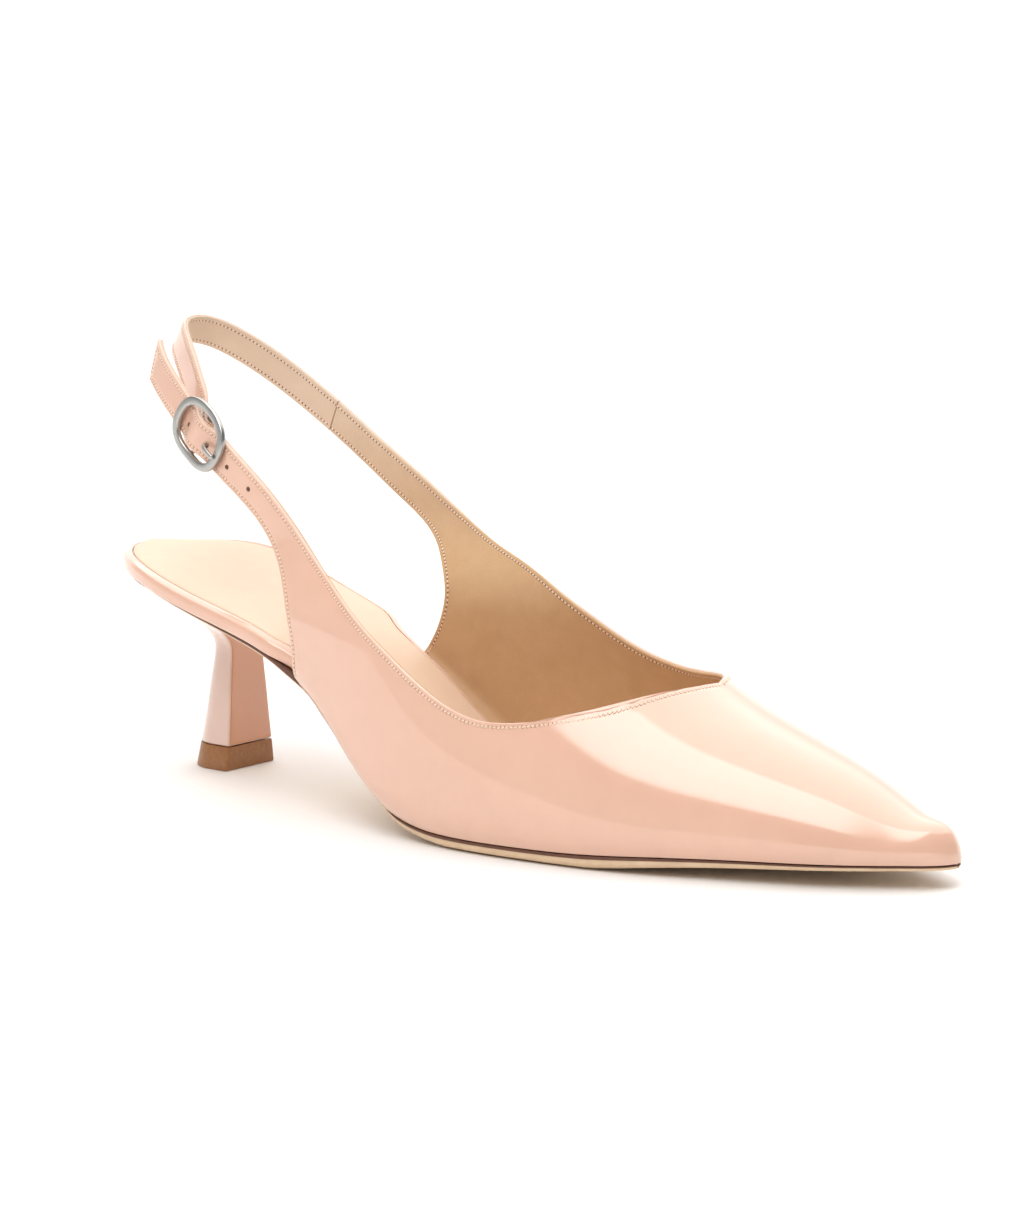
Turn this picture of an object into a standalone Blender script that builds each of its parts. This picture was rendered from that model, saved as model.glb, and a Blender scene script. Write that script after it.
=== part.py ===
"""Slingback pump, right shoe, standing empty on its sole.

X runs along the shoe to the toe, Y to the inner (medial) side and Z up. The origin is on the
floor at the middle of the heel's top piece. Every form comes from one last: half widths, crown
line and feather line are tables of sections, and the pieces are laid on that last in turn.
"""

import math

import bpy
import bmesh
import numpy as np

# The last, in metres
LENGTH = 0.2500          # back of the seat to the tip of the toe, along the floor
HEEL_SETBACK = 0.0305    # back of the seat to the middle of the top piece
BALL_WIDTH = 0.0760
SEAT_WIDTH = 0.0500
INSTEP_HEIGHT = 0.0360   # crown line above the feather line at the throat
HEEL_RISE = 0.0470       # feather line at the seat above the feather line at the tread
TOE_SPRING = 0.0026
LATERAL_ROUNDNESS = 2.2  # exponent of the section's outline, 2 is an ellipse
MEDIAL_ROUNDNESS = 1.65
BELLY = 0.0012           # how far a section swells between the feather line and the crown
WAIST_START = 0.12       # place along the last where its width starts to grow to the ball's
WAIST_RUN = 0.42

# The ankle that the quarters and the straps wrap, an oval tube that leans back
ANKLE_HALF_WIDTH = 0.0272
ANKLE_DEPTH = 0.0620
ANKLE_TILT = math.radians(33)
ANKLE_X = 0.03415
ANKLE_Z = 0.0760
ANKLE_OPENING = 0.125      # growth of its half width a whole depth in front of its middle
ANKLE_BLEND_LOW = 0.0420   # below this height the quarters follow the last
ANKLE_BLEND_HIGH = 0.0700  # above this height they follow the ankle
ANKLE_BLEND_X = 0.0730
ANKLE_BLEND_RUN = 0.0450

# Leather and sole
GAP = 0.0003             # clearance between pieces that touch
WALL = 0.0016            # patent leather with its lining
TUCK = 0.0028            # how far the upper turns in to the sole at the waist
TUCK_RISE = 0.0045
WAIST_INSET = 0.0014     # how much further in the outsole lies at the waist
OUTSOLE = 0.0033
EDGE_SHARE = 0.42        # upright part of the sole's edge, the rest is bevelled
BEVEL = 0.0017
BOARD = 0.0041           # covered insole board at the seat
BOARD_ROUND = 0.0009
RIM = 0.0024             # covered rim around the sock lining at the seat
COVERED_RIM = 0.0006     # and inside the quarters
INNER_ROW = 0.45         # share of the way out of a plate's inner row of points
SOCK = 0.0008
SOCK_RECESS = 0.0010

# Heel
TOP_PIECE = 0.0060
HEEL_WIDTH = 0.0184      # across the top piece on the floor
HEEL_FRONT = 0.0074      # breast in front of the origin
HEEL_BACK = 0.0074       # back of the top piece behind the origin
CUP_INSET = 0.0016       # heel cup inside the edge of the sole
CUP_TUCK = 0.6           # share of the tuck that the cup's sides follow
TOP_PIECE_FLAT = 0.42    # flat part of the top piece's side

# Strap and buckle
STRAP_WIDTH = 0.0082
STRAP_THICK = 0.0014
FOLD_THICK = 0.0008      # strap pared thin where it is folded round the bar
FOLD_LENGTH = 0.0110
PARED = 1.2              # start of the pared part before the bar, in fold lengths
FOLD_CLOSE = 1.6         # how soon the fold lies on the strap, in fold lengths to the power -1
BAR_LEAD = 0.0006        # straight part of the strap before it turns round the bar
SLOT_AHEAD = 0.0030      # slot for the prong, in front of the bar and behind it
SLOT_BEHIND = 0.0006
FLARE = 0.0007           # free end of the buckled strap stands off the ankle
FLARE_START = 0.52       # place round the ankle where it starts, in depths of the ankle
FLARE_RUN = 0.38
BUCKLE_TURN = math.radians(21.5)  # place of the bar round the ankle, from the lateral side
BUCKLE_LEAN = -0.0005    # place of the bar along the leaning ankle
RING_HALF_LENGTH = 0.0088
RING_HALF_WIDTH = 0.0067
RING_AHEAD = 0.0006      # middle of the ring in front of its bar
RING_UP = 0.0003         # and above the middle of the strap
RING_SQUARENESS = 2.5
RING_WIRE = 0.0011       # half of the ring's width in its own plane
RING_THICK = 0.00075     # half of its thickness
RING_DIP = 0.0021        # ring's sides above the bar
RING_REST = 0.00042      # ring's ends above the strap
RING_BOW = 1.7           # exponent of the ring's rise from its sides to its ends
BAR_BEND = 0.0012        # bar's bent ends inside the ring's sides
BAR_RADIUS = 0.00055
HUMP = 0.00165           # lift of the strap where it runs over the bar
HUMP_REACH = 0.0062
STRAP_TIP = 0.0290       # free end behind the bar, at the middle of its slanted cut
TIP_SLANT = 0.0056
SEAM_BACK = 0.0222       # seam of the back strap behind the ankle's middle
SEAM_SLANT = 0.0015
SEAM_FADE = 8.0          # columns of the strap over which the slant dies out
PRONG_RADIUS = 0.00045
HOLE_RADIUS = 0.0008
HOLE_OFFSET = 0.0044     # hole that the prong is in, in front of the bar
PRONG_SAG = 0.0002       # prong's dip before the hole
PRONG_TOP = 0.0018       # height at which it leaves the hole
PRONG_BEND = 0.0016      # run from the hole to its level end
PRONG_REST = 0.0015      # its level end on the ring

LATERAL = -1
MEDIAL = 1


def table(columns, rows):
    """Named columns of a short table that has one row for each section."""
    values = np.array(rows, float)
    return {name: values[:, index] for index, name in enumerate(columns.split())}


# Half widths are shares of the local width, the crown a share of the instep height
LAST = table("along lateral medial crown", [
    (0.000, 0.000, 0.000, 4.17),
    (0.020, 0.220, 0.220, 4.11),
    (0.060, 0.386, 0.388, 4.00),
    (0.120, 0.508, 0.494, 3.83),
    (0.200, 0.549, 0.438, 3.61),
    (0.320, 0.527, 0.266, 3.11),
    (0.440, 0.540, 0.290, 2.50),
    (0.540, 0.567, 0.391, 1.92),
    (0.640, 0.547, 0.450, 1.43),
    (0.730, 0.492, 0.403, 1.00),
    (0.820, 0.386, 0.325, 0.711),
    (0.900, 0.279, 0.230, 0.492),
    (0.960, 0.158, 0.139, 0.286),
    (0.985, 0.092, 0.082, 0.236),
    (1.000, 0.000, 0.000, 0.000)])

# Feather line: rise is a share of the heel rise, spring of the toe spring, and the outsole's
# thickness and the tuck are shares of their own sizes
FEATHER = table("along rise spring outsole tuck board", [
    (0.00, 1.000, 0.00, 0.20, 0.45, 1.00),
    (0.08, 0.960, 0.00, 0.20, 0.45, 1.00),
    (0.16, 0.870, 0.00, 0.27, 0.45, 1.00),
    (0.24, 0.778, 0.00, 0.48, 0.45, 1.00),
    (0.32, 0.635, 0.00, 0.52, 0.45, 1.01),
    (0.38, 0.404, 0.00, 0.48, 0.75, 0.98),
    (0.44, 0.139, 0.00, 0.50, 0.85, 0.82),
    (0.50, 0.020, 0.00, 0.72, 0.70, 0.67),
    (0.55, 0.000, 0.00, 0.98, 0.54, 0.60),
    (0.62, 0.000, 0.00, 1.06, 0.45, 0.60),
    (0.69, 0.000, 0.14, 1.06, 0.43, 0.60),
    (0.75, 0.000, 0.46, 0.88, 0.43, 0.60),
    (0.86, 0.000, 0.81, 0.58, 0.43, 0.60),
    (1.00, 0.000, 1.00, 0.40, 0.43, 0.60)])

# Back strap in the ankle's own axes: distance behind its middle and to the side, as shares of
# its depth and half width, from the medial seam round the back to the buckle
STRAP_RUN = table("back side lean", [
    (0.363, 0.904, -0.0006),
    (0.56, 0.820, -0.0001),
    (0.71, 0.695, 0.0006),
    (0.83, 0.545, 0.0011),
    (0.915, 0.375, 0.0014),
    (0.955, 0.175, 0.0014),
    (0.940, -0.020, 0.0014),
    (0.855, -0.200, 0.0016),
    (0.715, -0.395, 0.0018),
    (0.565, -0.605, 0.0018),
    (0.455, -0.760, 0.0012)])


def smooth(t):
    """Rise from 0 to 1 with level ends: 10 t^3 - 15 t^4 + 6 t^5."""
    t = np.clip(t, 0.0, 1.0)
    return t ** 3 * (10.0 - 15.0 * t + 6.0 * t * t)


def unit(vectors):
    """Vectors divided by their lengths."""
    return vectors / np.linalg.norm(vectors, axis=-1, keepdims=True)


def spline(knots, values):
    """Natural cubic spline through the rows of a table."""
    knots = np.asarray(knots, float)
    values = np.asarray(values, float)
    count = len(knots)
    step = np.diff(knots)
    matrix = np.eye(count)
    right = np.zeros(count)
    for i in range(1, count - 1):
        matrix[i, i - 1:i + 2] = step[i - 1], 2.0 * (step[i - 1] + step[i]), step[i]
        right[i] = 6.0 * ((values[i + 1] - values[i]) / step[i]
                          - (values[i] - values[i - 1]) / step[i - 1])
    bend = np.linalg.solve(matrix, right)

    def evaluate(x):
        x = np.asarray(x, float)
        i = np.clip(np.searchsorted(knots, x) - 1, 0, count - 2)
        after = knots[i + 1] - x
        before = x - knots[i]
        curve = (bend[i] * after ** 3 + bend[i + 1] * before ** 3) / (6.0 * step[i])
        line = ((values[i] / step[i] - bend[i] * step[i] / 6.0) * after
                + (values[i + 1] / step[i] - bend[i + 1] * step[i] / 6.0) * before)
        return curve + line

    return evaluate


def arc(along):
    """Angle whose cosine runs from 1 at the seat to -1 at the toe, which rounds both tips."""
    return np.arccos(1.0 - 2.0 * np.clip(along, 0.0, 1.0))


def unarc(angle):
    """Place along the last for an angle of arc."""
    return (1.0 - np.cos(angle)) / 2.0


LAST_HALF = {LATERAL: spline(arc(LAST["along"]), LAST["lateral"]),
             MEDIAL: spline(arc(LAST["along"]), LAST["medial"])}
LAST_CROWN = spline(arc(LAST["along"]), LAST["crown"])
ROUNDNESS = {LATERAL: LATERAL_ROUNDNESS, MEDIAL: MEDIAL_ROUNDNESS}
RISE = spline(FEATHER["along"], FEATHER["rise"])
SPRING = spline(FEATHER["along"], FEATHER["spring"])
OUTSOLE_SHARE = spline(FEATHER["along"], FEATHER["outsole"])
TUCK_SHARE = spline(FEATHER["along"], FEATHER["tuck"])
BOARD_SHARE = spline(FEATHER["along"], FEATHER["board"])


def share(x):
    """Place along the last, 0 at the back of the seat and 1 at the toe."""
    return (np.asarray(x, float) + HEEL_SETBACK) / LENGTH


def station(along):
    """X of a place along the last."""
    return np.asarray(along, float) * LENGTH - HEEL_SETBACK


def local_width(along):
    """Width that a section's shares refer to, from the seat's to the ball's."""
    return SEAT_WIDTH + (BALL_WIDTH - SEAT_WIDTH) * smooth((np.asarray(along) - WAIST_START) / WAIST_RUN)


def feather_half(along, side):
    """Half width of the last at its feather line."""
    return LAST_HALF[side](arc(along)) * local_width(along)


def feather_z(x):
    """Height of the feather line, which is the top of the outsole."""
    along = share(x)
    tread = OUTSOLE - GAP
    return tread + HEEL_RISE * RISE(along) + TOE_SPRING * SPRING(along)


def crown_height(along):
    """Height of the crown line above the feather line."""
    return INSTEP_HEIGHT * LAST_CROWN(arc(along))


def tuck(along):
    """How far the upper's lower edge and the sole lie inside the last's half width."""
    tip = np.minimum(1.0, feather_half(along, LATERAL) / (4.0 * TUCK))
    return TUCK * TUCK_SHARE(along) * tip


def ankle_axes(x, z):
    """Distance behind the ankle's middle and height along its lean."""
    back = -(x - ANKLE_X) * math.cos(ANKLE_TILT) + (z - ANKLE_Z) * math.sin(ANKLE_TILT)
    lean = (x - ANKLE_X) * math.sin(ANKLE_TILT) + (z - ANKLE_Z) * math.cos(ANKLE_TILT)
    return back, lean


def ankle_half(x, z, side):
    """Half width of the leaning oval, which opens a little in front of its middle."""
    back, _ = ankle_axes(x, z)
    oval = ANKLE_HALF_WIDTH * np.sqrt(np.clip(1.0 - (back / ANKLE_DEPTH) ** 2, 0.0, 1.0))
    front = ANKLE_HALF_WIDTH * (1.0 + ANKLE_OPENING * (back / ANKLE_DEPTH) ** 2)
    half = np.where(back > 0.0, oval, front)
    if side == LATERAL:
        half = half + FLARE * smooth((back / ANKLE_DEPTH - FLARE_START) / FLARE_RUN)
    return half


def last_half(x, turn, side):
    """Half width of a section of the last at a share of the quarter turn to its crown."""
    half = feather_half(share(x), side)
    angle = turn * math.pi / 2.0
    swell = BELLY * np.minimum(1.0, half / (0.5 * SEAT_WIDTH)) * np.sin(2.0 * angle)
    return half * np.cos(angle) ** (2.0 / ROUNDNESS[side]) + swell


def skin(along, turn, side):
    """Outer face of the upper at a place along the last and a share of the turn to its crown."""
    x = station(along)
    turn = np.clip(turn, 0.0, 1.0)
    rise = crown_height(along) * np.sin(turn * math.pi / 2.0) ** (2.0 / ROUNDNESS[side])
    z = feather_z(x) + rise
    to_ankle = smooth((z - ANKLE_BLEND_LOW) / (ANKLE_BLEND_HIGH - ANKLE_BLEND_LOW))
    to_ankle = to_ankle * (1.0 - smooth((x - ANKLE_BLEND_X) / ANKLE_BLEND_RUN))
    half = (1.0 - to_ankle) * last_half(x, turn, side) + to_ankle * ankle_half(x, z, side)
    tuck_rise = np.minimum(TUCK_RISE, 0.5 * crown_height(along))
    half = half - tuck(along) * np.clip(1.0 - rise / tuck_rise, 0.0, 1.0) ** 2
    return np.stack([x, side * half, z], axis=-1)


def skin_normal(along, turn, side):
    """Outward direction of the upper's outer face, level at its foot and across the crown."""
    step = 1e-4
    before = unarc(arc(along) - step)
    after = unarc(arc(along) + step)
    low = np.clip(turn - step, 0.0, 1.0)
    high = np.clip(turn + step, 0.0, 1.0)
    run = skin(after, turn, side) - skin(before, turn, side)
    climb = skin(along, high, side) - skin(along, low, side)
    normal = np.cross(run, climb) * -side
    normal[turn > 1.0 - 1e-9, 1] = 0.0
    normal = unit(normal)
    normal[turn < 1e-9, 2] = 0.0
    return unit(normal)


def ring_rate():
    """Arc length for each radian round the ankle at the buckle."""
    return math.hypot(ANKLE_DEPTH * math.cos(BUCKLE_TURN), ANKLE_HALF_WIDTH * math.sin(BUCKLE_TURN))


def strap_frame(run, across, out):
    """Point by the buckle: run back along the strap from the bar, across it and out from the
    face of the ankle's oval tube."""
    run, across, out = np.broadcast_arrays(run, across, out)
    turn = BUCKLE_TURN + run / ring_rate()
    normal = unit(np.stack([np.sin(turn) / ANKLE_DEPTH, -np.cos(turn) / ANKLE_HALF_WIDTH], axis=-1))
    back = ANKLE_DEPTH * np.sin(turn) + out * normal[..., 0]
    side = -ANKLE_HALF_WIDTH * np.cos(turn) + out * normal[..., 1]
    return from_ankle(back, side, BUCKLE_LEAN + across)


def from_ankle(back, side, lean):
    """World point from the ankle's own axes."""
    x = ANKLE_X - back * math.cos(ANKLE_TILT) + lean * math.sin(ANKLE_TILT)
    z = ANKLE_Z + back * math.sin(ANKLE_TILT) + lean * math.cos(ANKLE_TILT)
    return np.stack(np.broadcast_arrays(x, side, z), axis=-1)


def on_last(x, z, side):
    """Place along the last and turn of a point of its side."""
    along = share(x)
    height = np.clip((z - feather_z(x)) / crown_height(along), 0.0, 1.0)
    return float(along), float(np.arcsin(height ** (ROUNDNESS[side] / 2.0)) * 2.0 / math.pi)


def ankle_row(back, lean, side):
    """Row of an edge's table from a point in the ankle's own axes."""
    point = from_ankle(back, 0.0, lean)
    return on_last(point[0], point[2], side)


def strap_rows(edge):
    """Upper (1) or lower (-1) edge of the buckled strap, from its tip towards the quarter."""
    lean = BUCKLE_LEAN + edge * 0.5 * STRAP_WIDTH
    bar = ANKLE_DEPTH * math.sin(BUCKLE_TURN)
    tip = bar + STRAP_TIP + edge * 0.5 * TIP_SLANT
    stops = np.linspace(tip, bar - HOLE_OFFSET - edge * 0.5 * STRAP_WIDTH, 6)
    return [ankle_row(back, lean, LATERAL) for back in stops]


def seam_row(edge):
    """Upper (1) or lower (-1) end of the medial quarter's seam with the back strap."""
    lean = STRAP_RUN["lean"][0] + edge * 0.5 * STRAP_WIDTH
    back = SEAM_BACK + edge * 0.5 * SEAM_SLANT
    return ankle_row(back, lean, MEDIAL)


def hump(points):
    """Lift of the buckled strap where it runs over the bar."""
    back, _ = ankle_axes(points[..., 0], points[..., 2])
    turn = np.arcsin(np.clip(back / ANKLE_DEPTH, -1.0, 1.0))
    run = (turn - BUCKLE_TURN) * ring_rate()
    lift = HUMP * np.cos(np.clip(run / HUMP_REACH, -1.0, 1.0) * math.pi / 2.0) ** 2
    return np.where(points[..., 1] < 0.0, lift, 0.0)


def material(name, colour, roughness, metallic=0.0, coat=0.0):
    """Principled material of one sub-part."""
    made = bpy.data.materials.new(name)
    made.use_nodes = True
    shader = made.node_tree.nodes["Principled BSDF"]
    shader.inputs["Base Color"].default_value = (*colour, 1.0)
    shader.inputs["Roughness"].default_value = roughness
    shader.inputs["Metallic"].default_value = metallic
    shader.inputs["Coat Weight"].default_value = coat
    return made


def add_object(name, points, faces, finish, sharp=35.0):
    """Object from arrays: doubled points are welded and the faces turned outwards."""
    mesh = bpy.data.meshes.new(name)
    mesh.from_pydata([tuple(p) for p in np.asarray(points, float)], [], faces)
    work = bmesh.new()
    work.from_mesh(mesh)
    bmesh.ops.remove_doubles(work, verts=work.verts, dist=1e-6)
    bmesh.ops.dissolve_degenerate(work, edges=work.edges, dist=1e-6)
    bmesh.ops.triangulate(work, faces=work.faces)
    bmesh.ops.recalc_face_normals(work, faces=work.faces)
    if work.calc_volume(signed=True) < 0.0:
        bmesh.ops.reverse_faces(work, faces=work.faces)
    work.to_mesh(mesh)
    work.free()
    mesh.shade_smooth()
    mesh.set_sharp_from_angle(angle=math.radians(sharp))
    mesh.materials.append(finish)
    made = bpy.data.objects.new(name, mesh)
    bpy.context.scene.collection.objects.link(made)
    return made


def loft(loops, closed=False):
    """Points and faces of a solid through closed loops that have equally many points."""
    loops = np.asarray(loops, float)
    count, size = loops.shape[:2]
    faces = []
    for i in range(count if closed else count - 1):
        here = i * size
        there = (i + 1) % count * size
        for j in range(size):
            k = (j + 1) % size
            faces.append((here + j, here + k, there + k, there + j))
    if not closed:
        faces.append(tuple(range(size))[::-1])
        faces.append(tuple((count - 1) * size + j for j in range(size)))
    return loops.reshape(-1, 3), faces


def even(rows, count, first=0, last=-1):
    """Points evenly spaced from one row to another of a smooth curve through rows (along, turn)."""
    rows = np.array(rows, float)
    scale = np.array([1.0, 0.55])
    length = np.r_[0.0, np.cumsum(np.linalg.norm(np.diff(rows, axis=0) * scale, axis=1))]
    places = np.linspace(length[first], length[last], count)
    return np.stack([spline(length, rows[:, 0])(places), spline(length, rows[:, 1])(places)], axis=-1)


# Edges of the upper on the last: along, and turn from the feather line (0) to the crown (1)
LATERAL_TOP_BACK = [(0.285, 0.185), (0.333, 0.168), (0.396, 0.205), (0.459, 0.262)]
LATERAL_TOP_FRONT = [
    (0.518, 0.272), (0.575, 0.277), (0.623, 0.331), (0.665, 0.427), (0.699, 0.561),
    (0.722, 0.747), (0.732, 0.880), (0.737, 1.000)]
LATERAL_BACK_EDGE = [
    (0.209, 0.164), (0.265, 0.139), (0.298, 0.104), (0.318, 0.066), (0.327, 0.030), (0.327, 0.000)]
MEDIAL_TOP_BACK = [
    (0.233, 0.274), (0.293, 0.262), (0.340, 0.268), (0.388, 0.311), (0.459, 0.415)]
MEDIAL_TOP_FRONT = [
    (0.521, 0.449), (0.568, 0.437), (0.623, 0.462), (0.665, 0.545), (0.700, 0.680),
    (0.726, 0.850), (0.737, 1.000)]
MEDIAL_BACK_EDGE = [
    (0.249, 0.2125), (0.300, 0.197), (0.338, 0.188), (0.3545, 0.172), (0.354, 0.1325),
    (0.343, 0.069), (0.335, 0.027), (0.331, 0.000)]
APEX_FOOT = 0.715
TOE_END = 0.9988
QUARTER_COLUMNS = {LATERAL: 46, MEDIAL: 26}
SIDE_COLUMNS = 16
VAMP_COLUMNS = 17
WALL_ROWS = 8


def foot_wall(along):
    """Thickness of the wall measured level at its lower edge, where it slants in to the sole."""
    return WALL * np.hypot(1.0, 2.0 * tuck(along) / TUCK_RISE)


def upper_columns(side):
    """Lower and upper end of each column, from the quarter's end to the toe."""
    top_back, top_front, back_edge = {
        LATERAL: (LATERAL_TOP_BACK, LATERAL_TOP_FRONT, LATERAL_BACK_EDGE),
        MEDIAL: (MEDIAL_TOP_BACK, MEDIAL_TOP_FRONT, MEDIAL_BACK_EDGE)}[side]
    ends = {LATERAL: strap_rows, MEDIAL: lambda edge: [seam_row(edge)]}[side]
    top_back = ends(1) + top_back
    back_edge = ends(-1) + back_edge
    quarter = QUARTER_COLUMNS[side]
    top = top_back + top_front
    joint = len(top_back) - 1
    side_foot = np.linspace(back_edge[-1][0], APEX_FOOT, SIDE_COLUMNS + 1)[1:]
    vamp_foot = unarc(np.linspace(arc(APEX_FOOT), arc(TOE_END), VAMP_COLUMNS + 1)[1:])
    vamp_top = unarc(np.linspace(arc(top[-1][0]), arc(TOE_END), VAMP_COLUMNS + 1)[1:])
    low = np.concatenate([even(back_edge, quarter + 1),
                          np.stack([side_foot, 0.0 * side_foot], axis=-1),
                          np.stack([vamp_foot, 0.0 * vamp_foot], axis=-1)])
    high = np.concatenate([even(top, quarter + 1, last=joint),
                           even(top, SIDE_COLUMNS + 1, first=joint)[1:],
                           np.stack([vamp_top, 1.0 + 0.0 * vamp_top], axis=-1)])
    return low, high


def upper_side(side):
    """Outer and inner points of one side of the upper, columns by rows."""
    low, high = upper_columns(side)
    rows = np.linspace(0.0, 1.0, WALL_ROWS + 1)[None, :, None]
    place = low[:, None, :] * (1.0 - rows) + high[:, None, :] * rows
    columns, count = place.shape[:2]
    along = place[..., 0].ravel()
    turn = np.clip(place[..., 1].ravel(), 0.0, 1.0)
    points = skin(along, turn, side)
    normal = skin_normal(along, turn, side)
    points[:, 2] += GAP * (1.0 - smooth(turn / 0.1))
    lift = hump(points)[:, None]
    wall = np.where(turn < 1e-9, foot_wall(along), WALL)[:, None]
    outer = points + normal * lift
    inner = points + normal * (lift - wall)
    return outer.reshape(columns, count, 3), inner.reshape(columns, count, 3)


def build_upper(finish):
    """Vamp, both quarters and the buckled strap: one wall round the toe, open at the throat, at
    the back and underneath."""
    outer_l, inner_l = upper_side(LATERAL)
    outer_m, inner_m = upper_side(MEDIAL)
    outer = np.concatenate([outer_l, outer_m[::-1]])
    inner = np.concatenate([inner_l, inner_m[::-1]])
    columns, rows = outer.shape[:2]
    open_lateral = QUARTER_COLUMNS[LATERAL] + SIDE_COLUMNS
    open_medial = columns - 1 - QUARTER_COLUMNS[MEDIAL] - SIDE_COLUMNS
    inside = columns * rows

    def at(i, j):
        return i * rows + j

    faces = []
    for i in range(columns - 1):
        for j in range(rows - 1):
            faces.append((at(i, j), at(i + 1, j), at(i + 1, j + 1), at(i, j + 1)))
            faces.append((inside + at(i, j), inside + at(i, j + 1),
                          inside + at(i + 1, j + 1), inside + at(i + 1, j)))
        edges = [0]
        if i < open_lateral or i >= open_medial:
            edges.append(rows - 1)
        for j in edges:
            faces.append((at(i, j), at(i + 1, j), inside + at(i + 1, j), inside + at(i, j)))
    for i in (0, columns - 1):
        for j in range(rows - 1):
            faces.append((at(i, j), at(i, j + 1), inside + at(i, j + 1), inside + at(i, j)))
    points = np.concatenate([outer.reshape(-1, 3), inner.reshape(-1, 3)])
    upper = add_object("upper", points, faces, finish)
    cut(upper, prong_hole())
    return upper


def cut(target, cutter, operation="DIFFERENCE"):
    """Exact Boolean of a target with a hidden cutter."""
    cutter.hide_render = True
    cutter.display_type = "WIRE"
    step = target.modifiers.new(cutter.name, "BOOLEAN")
    step.solver = "EXACT"
    step.operation = operation
    step.object = cutter


def prong_hole():
    """Cutter for the punched hole that the prong is in."""
    angles = np.linspace(0.0, 2.0 * math.pi, 12, endpoint=False)
    depth = HUMP + WALL + STRAP_THICK
    loops = [strap_frame(-HOLE_OFFSET + HOLE_RADIUS * np.cos(angles),
                         HOLE_RADIUS * np.sin(angles), level) for level in (-depth, depth)]
    points, faces = loft(loops)
    return add_object("prong_hole", points, faces, None)


def outline(along, side, inset):
    """Points of a plate's outline, moved inwards in plan along the last's own normal."""
    step = 1e-3
    before = unarc(arc(along) - step)
    after = unarc(arc(along) + step)
    run = station(after) - station(before)
    rise = feather_half(after, side) - feather_half(before, side)
    length = np.hypot(run, rise)
    x = station(along) + inset * rise / length
    half = feather_half(along, side) - inset * run / length
    return float(x), max(float(half), 1e-5)


QUARTER_END = min(LATERAL_BACK_EDGE[-1][0], MEDIAL_BACK_EDGE[-1][0]) - 0.002
BOARD_STEP = 0.050       # share of the length over which the board narrows towards the quarters
PLATE_STATIONS = np.sort(np.r_[
    unarc(np.linspace(0.035, math.pi - 0.035, 46)),
    np.linspace(QUARTER_END - BOARD_STEP, QUARTER_END, 4)])


def plate(name, finish, base, profile):
    """Solid with the last's outline. Each row of the profile, from the underside's middle round
    the edge to the top's middle, gives the inset beyond the base inset, the height above the
    feather line and the share of the way out from the middle."""
    loops = []
    for along in PLATE_STATIONS:
        near, far = [], []
        for inset, height, out in profile:
            for side, row in ((LATERAL, near), (MEDIAL, far)):
                x, half = outline(along, side, base(along) + inset(along))
                z = float(feather_z(x) + height(along))
                row.append((x, side * half * out, z))
        loops.append(near + far[::-1])
    points, faces = loft(loops)
    return add_object(name, points, faces, finish, sharp=28.0)


def constant(value):
    """Profile value that is the same at each section."""
    return lambda along: value


def sole_thickness(along):
    """Thickness of the outsole at a place along the last."""
    return OUTSOLE * OUTSOLE_SHARE(along)


def sole_inset(along):
    """Inset of the outsole, which lies further in than the upper where the waist arches."""
    waist = smooth((along - 0.30) / 0.05) * (1.0 - smooth((along - 0.43) / 0.06))
    return tuck(along) + WAIST_INSET * waist


def build_outsole(finish):
    """Leather outsole: upright dark edge, bevel under it, ground flat at the tread."""

    def bottom(along):
        floor = -feather_z(station(along))
        return max(floor, -float(sole_thickness(along)))

    def edge_low(along):
        return EDGE_SHARE * bottom(along)

    outsole = plate("outsole", finish, sole_inset, [
        (constant(0.5 * (BEVEL + OUTSOLE)), bottom, INNER_ROW),
        (constant(BEVEL), bottom, 1.0),
        (constant(0.0), edge_low, 1.0),
        (constant(0.0), constant(0.0), 1.0),
        (constant(0.0), constant(0.0), INNER_ROW)])
    for vertex in outsole.data.vertices:
        vertex.co.z = max(vertex.co.z, 0.0)
    return outsole


def board_inset(along):
    """None under the seat, where the board's cover shows, then inside the quarters' wall."""
    inside = smooth((along - QUARTER_END) / BOARD_STEP + 1.0)
    return inside * (tuck(along) + foot_wall(along) + GAP)


def rim(along):
    """Width of the board's rim, which the sock covers nearly all of inside the quarters."""
    return RIM + (COVERED_RIM - RIM) * smooth((along - QUARTER_END) / BOARD_STEP)


def board_top(along):
    """Top of the board's rim above the feather line."""
    return GAP + BOARD * BOARD_SHARE(along)


def build_board(finish):
    """Insole board with its covered rim, sunk inside the rim for the sock lining."""
    return plate("insole_board", finish, board_inset, [
        (constant(BOARD_ROUND), constant(GAP), INNER_ROW),
        (constant(BOARD_ROUND), constant(GAP), 1.0),
        (constant(0.0), constant(GAP + BOARD_ROUND), 1.0),
        (constant(0.0), lambda along: board_top(along) - BOARD_ROUND, 1.0),
        (constant(BOARD_ROUND), board_top, 1.0),
        (rim, board_top, 1.0),
        (lambda along: rim(along) + 0.5 * GAP, lambda along: board_top(along) - SOCK_RECESS, 1.0),
        (rim, lambda along: board_top(along) - SOCK_RECESS, INNER_ROW)])


def build_sock(finish):
    """Sock lining, laid in the board's recess."""

    def edge(along):
        return rim(along) + 2.0 * GAP

    def low(along):
        return board_top(along) - SOCK_RECESS + GAP

    def high(along):
        return low(along) + SOCK

    return plate("sock_lining", finish, board_inset, [
        (edge, low, INNER_ROW), (edge, low, 1.0), (edge, high, 1.0), (edge, high, INNER_ROW)])


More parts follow.
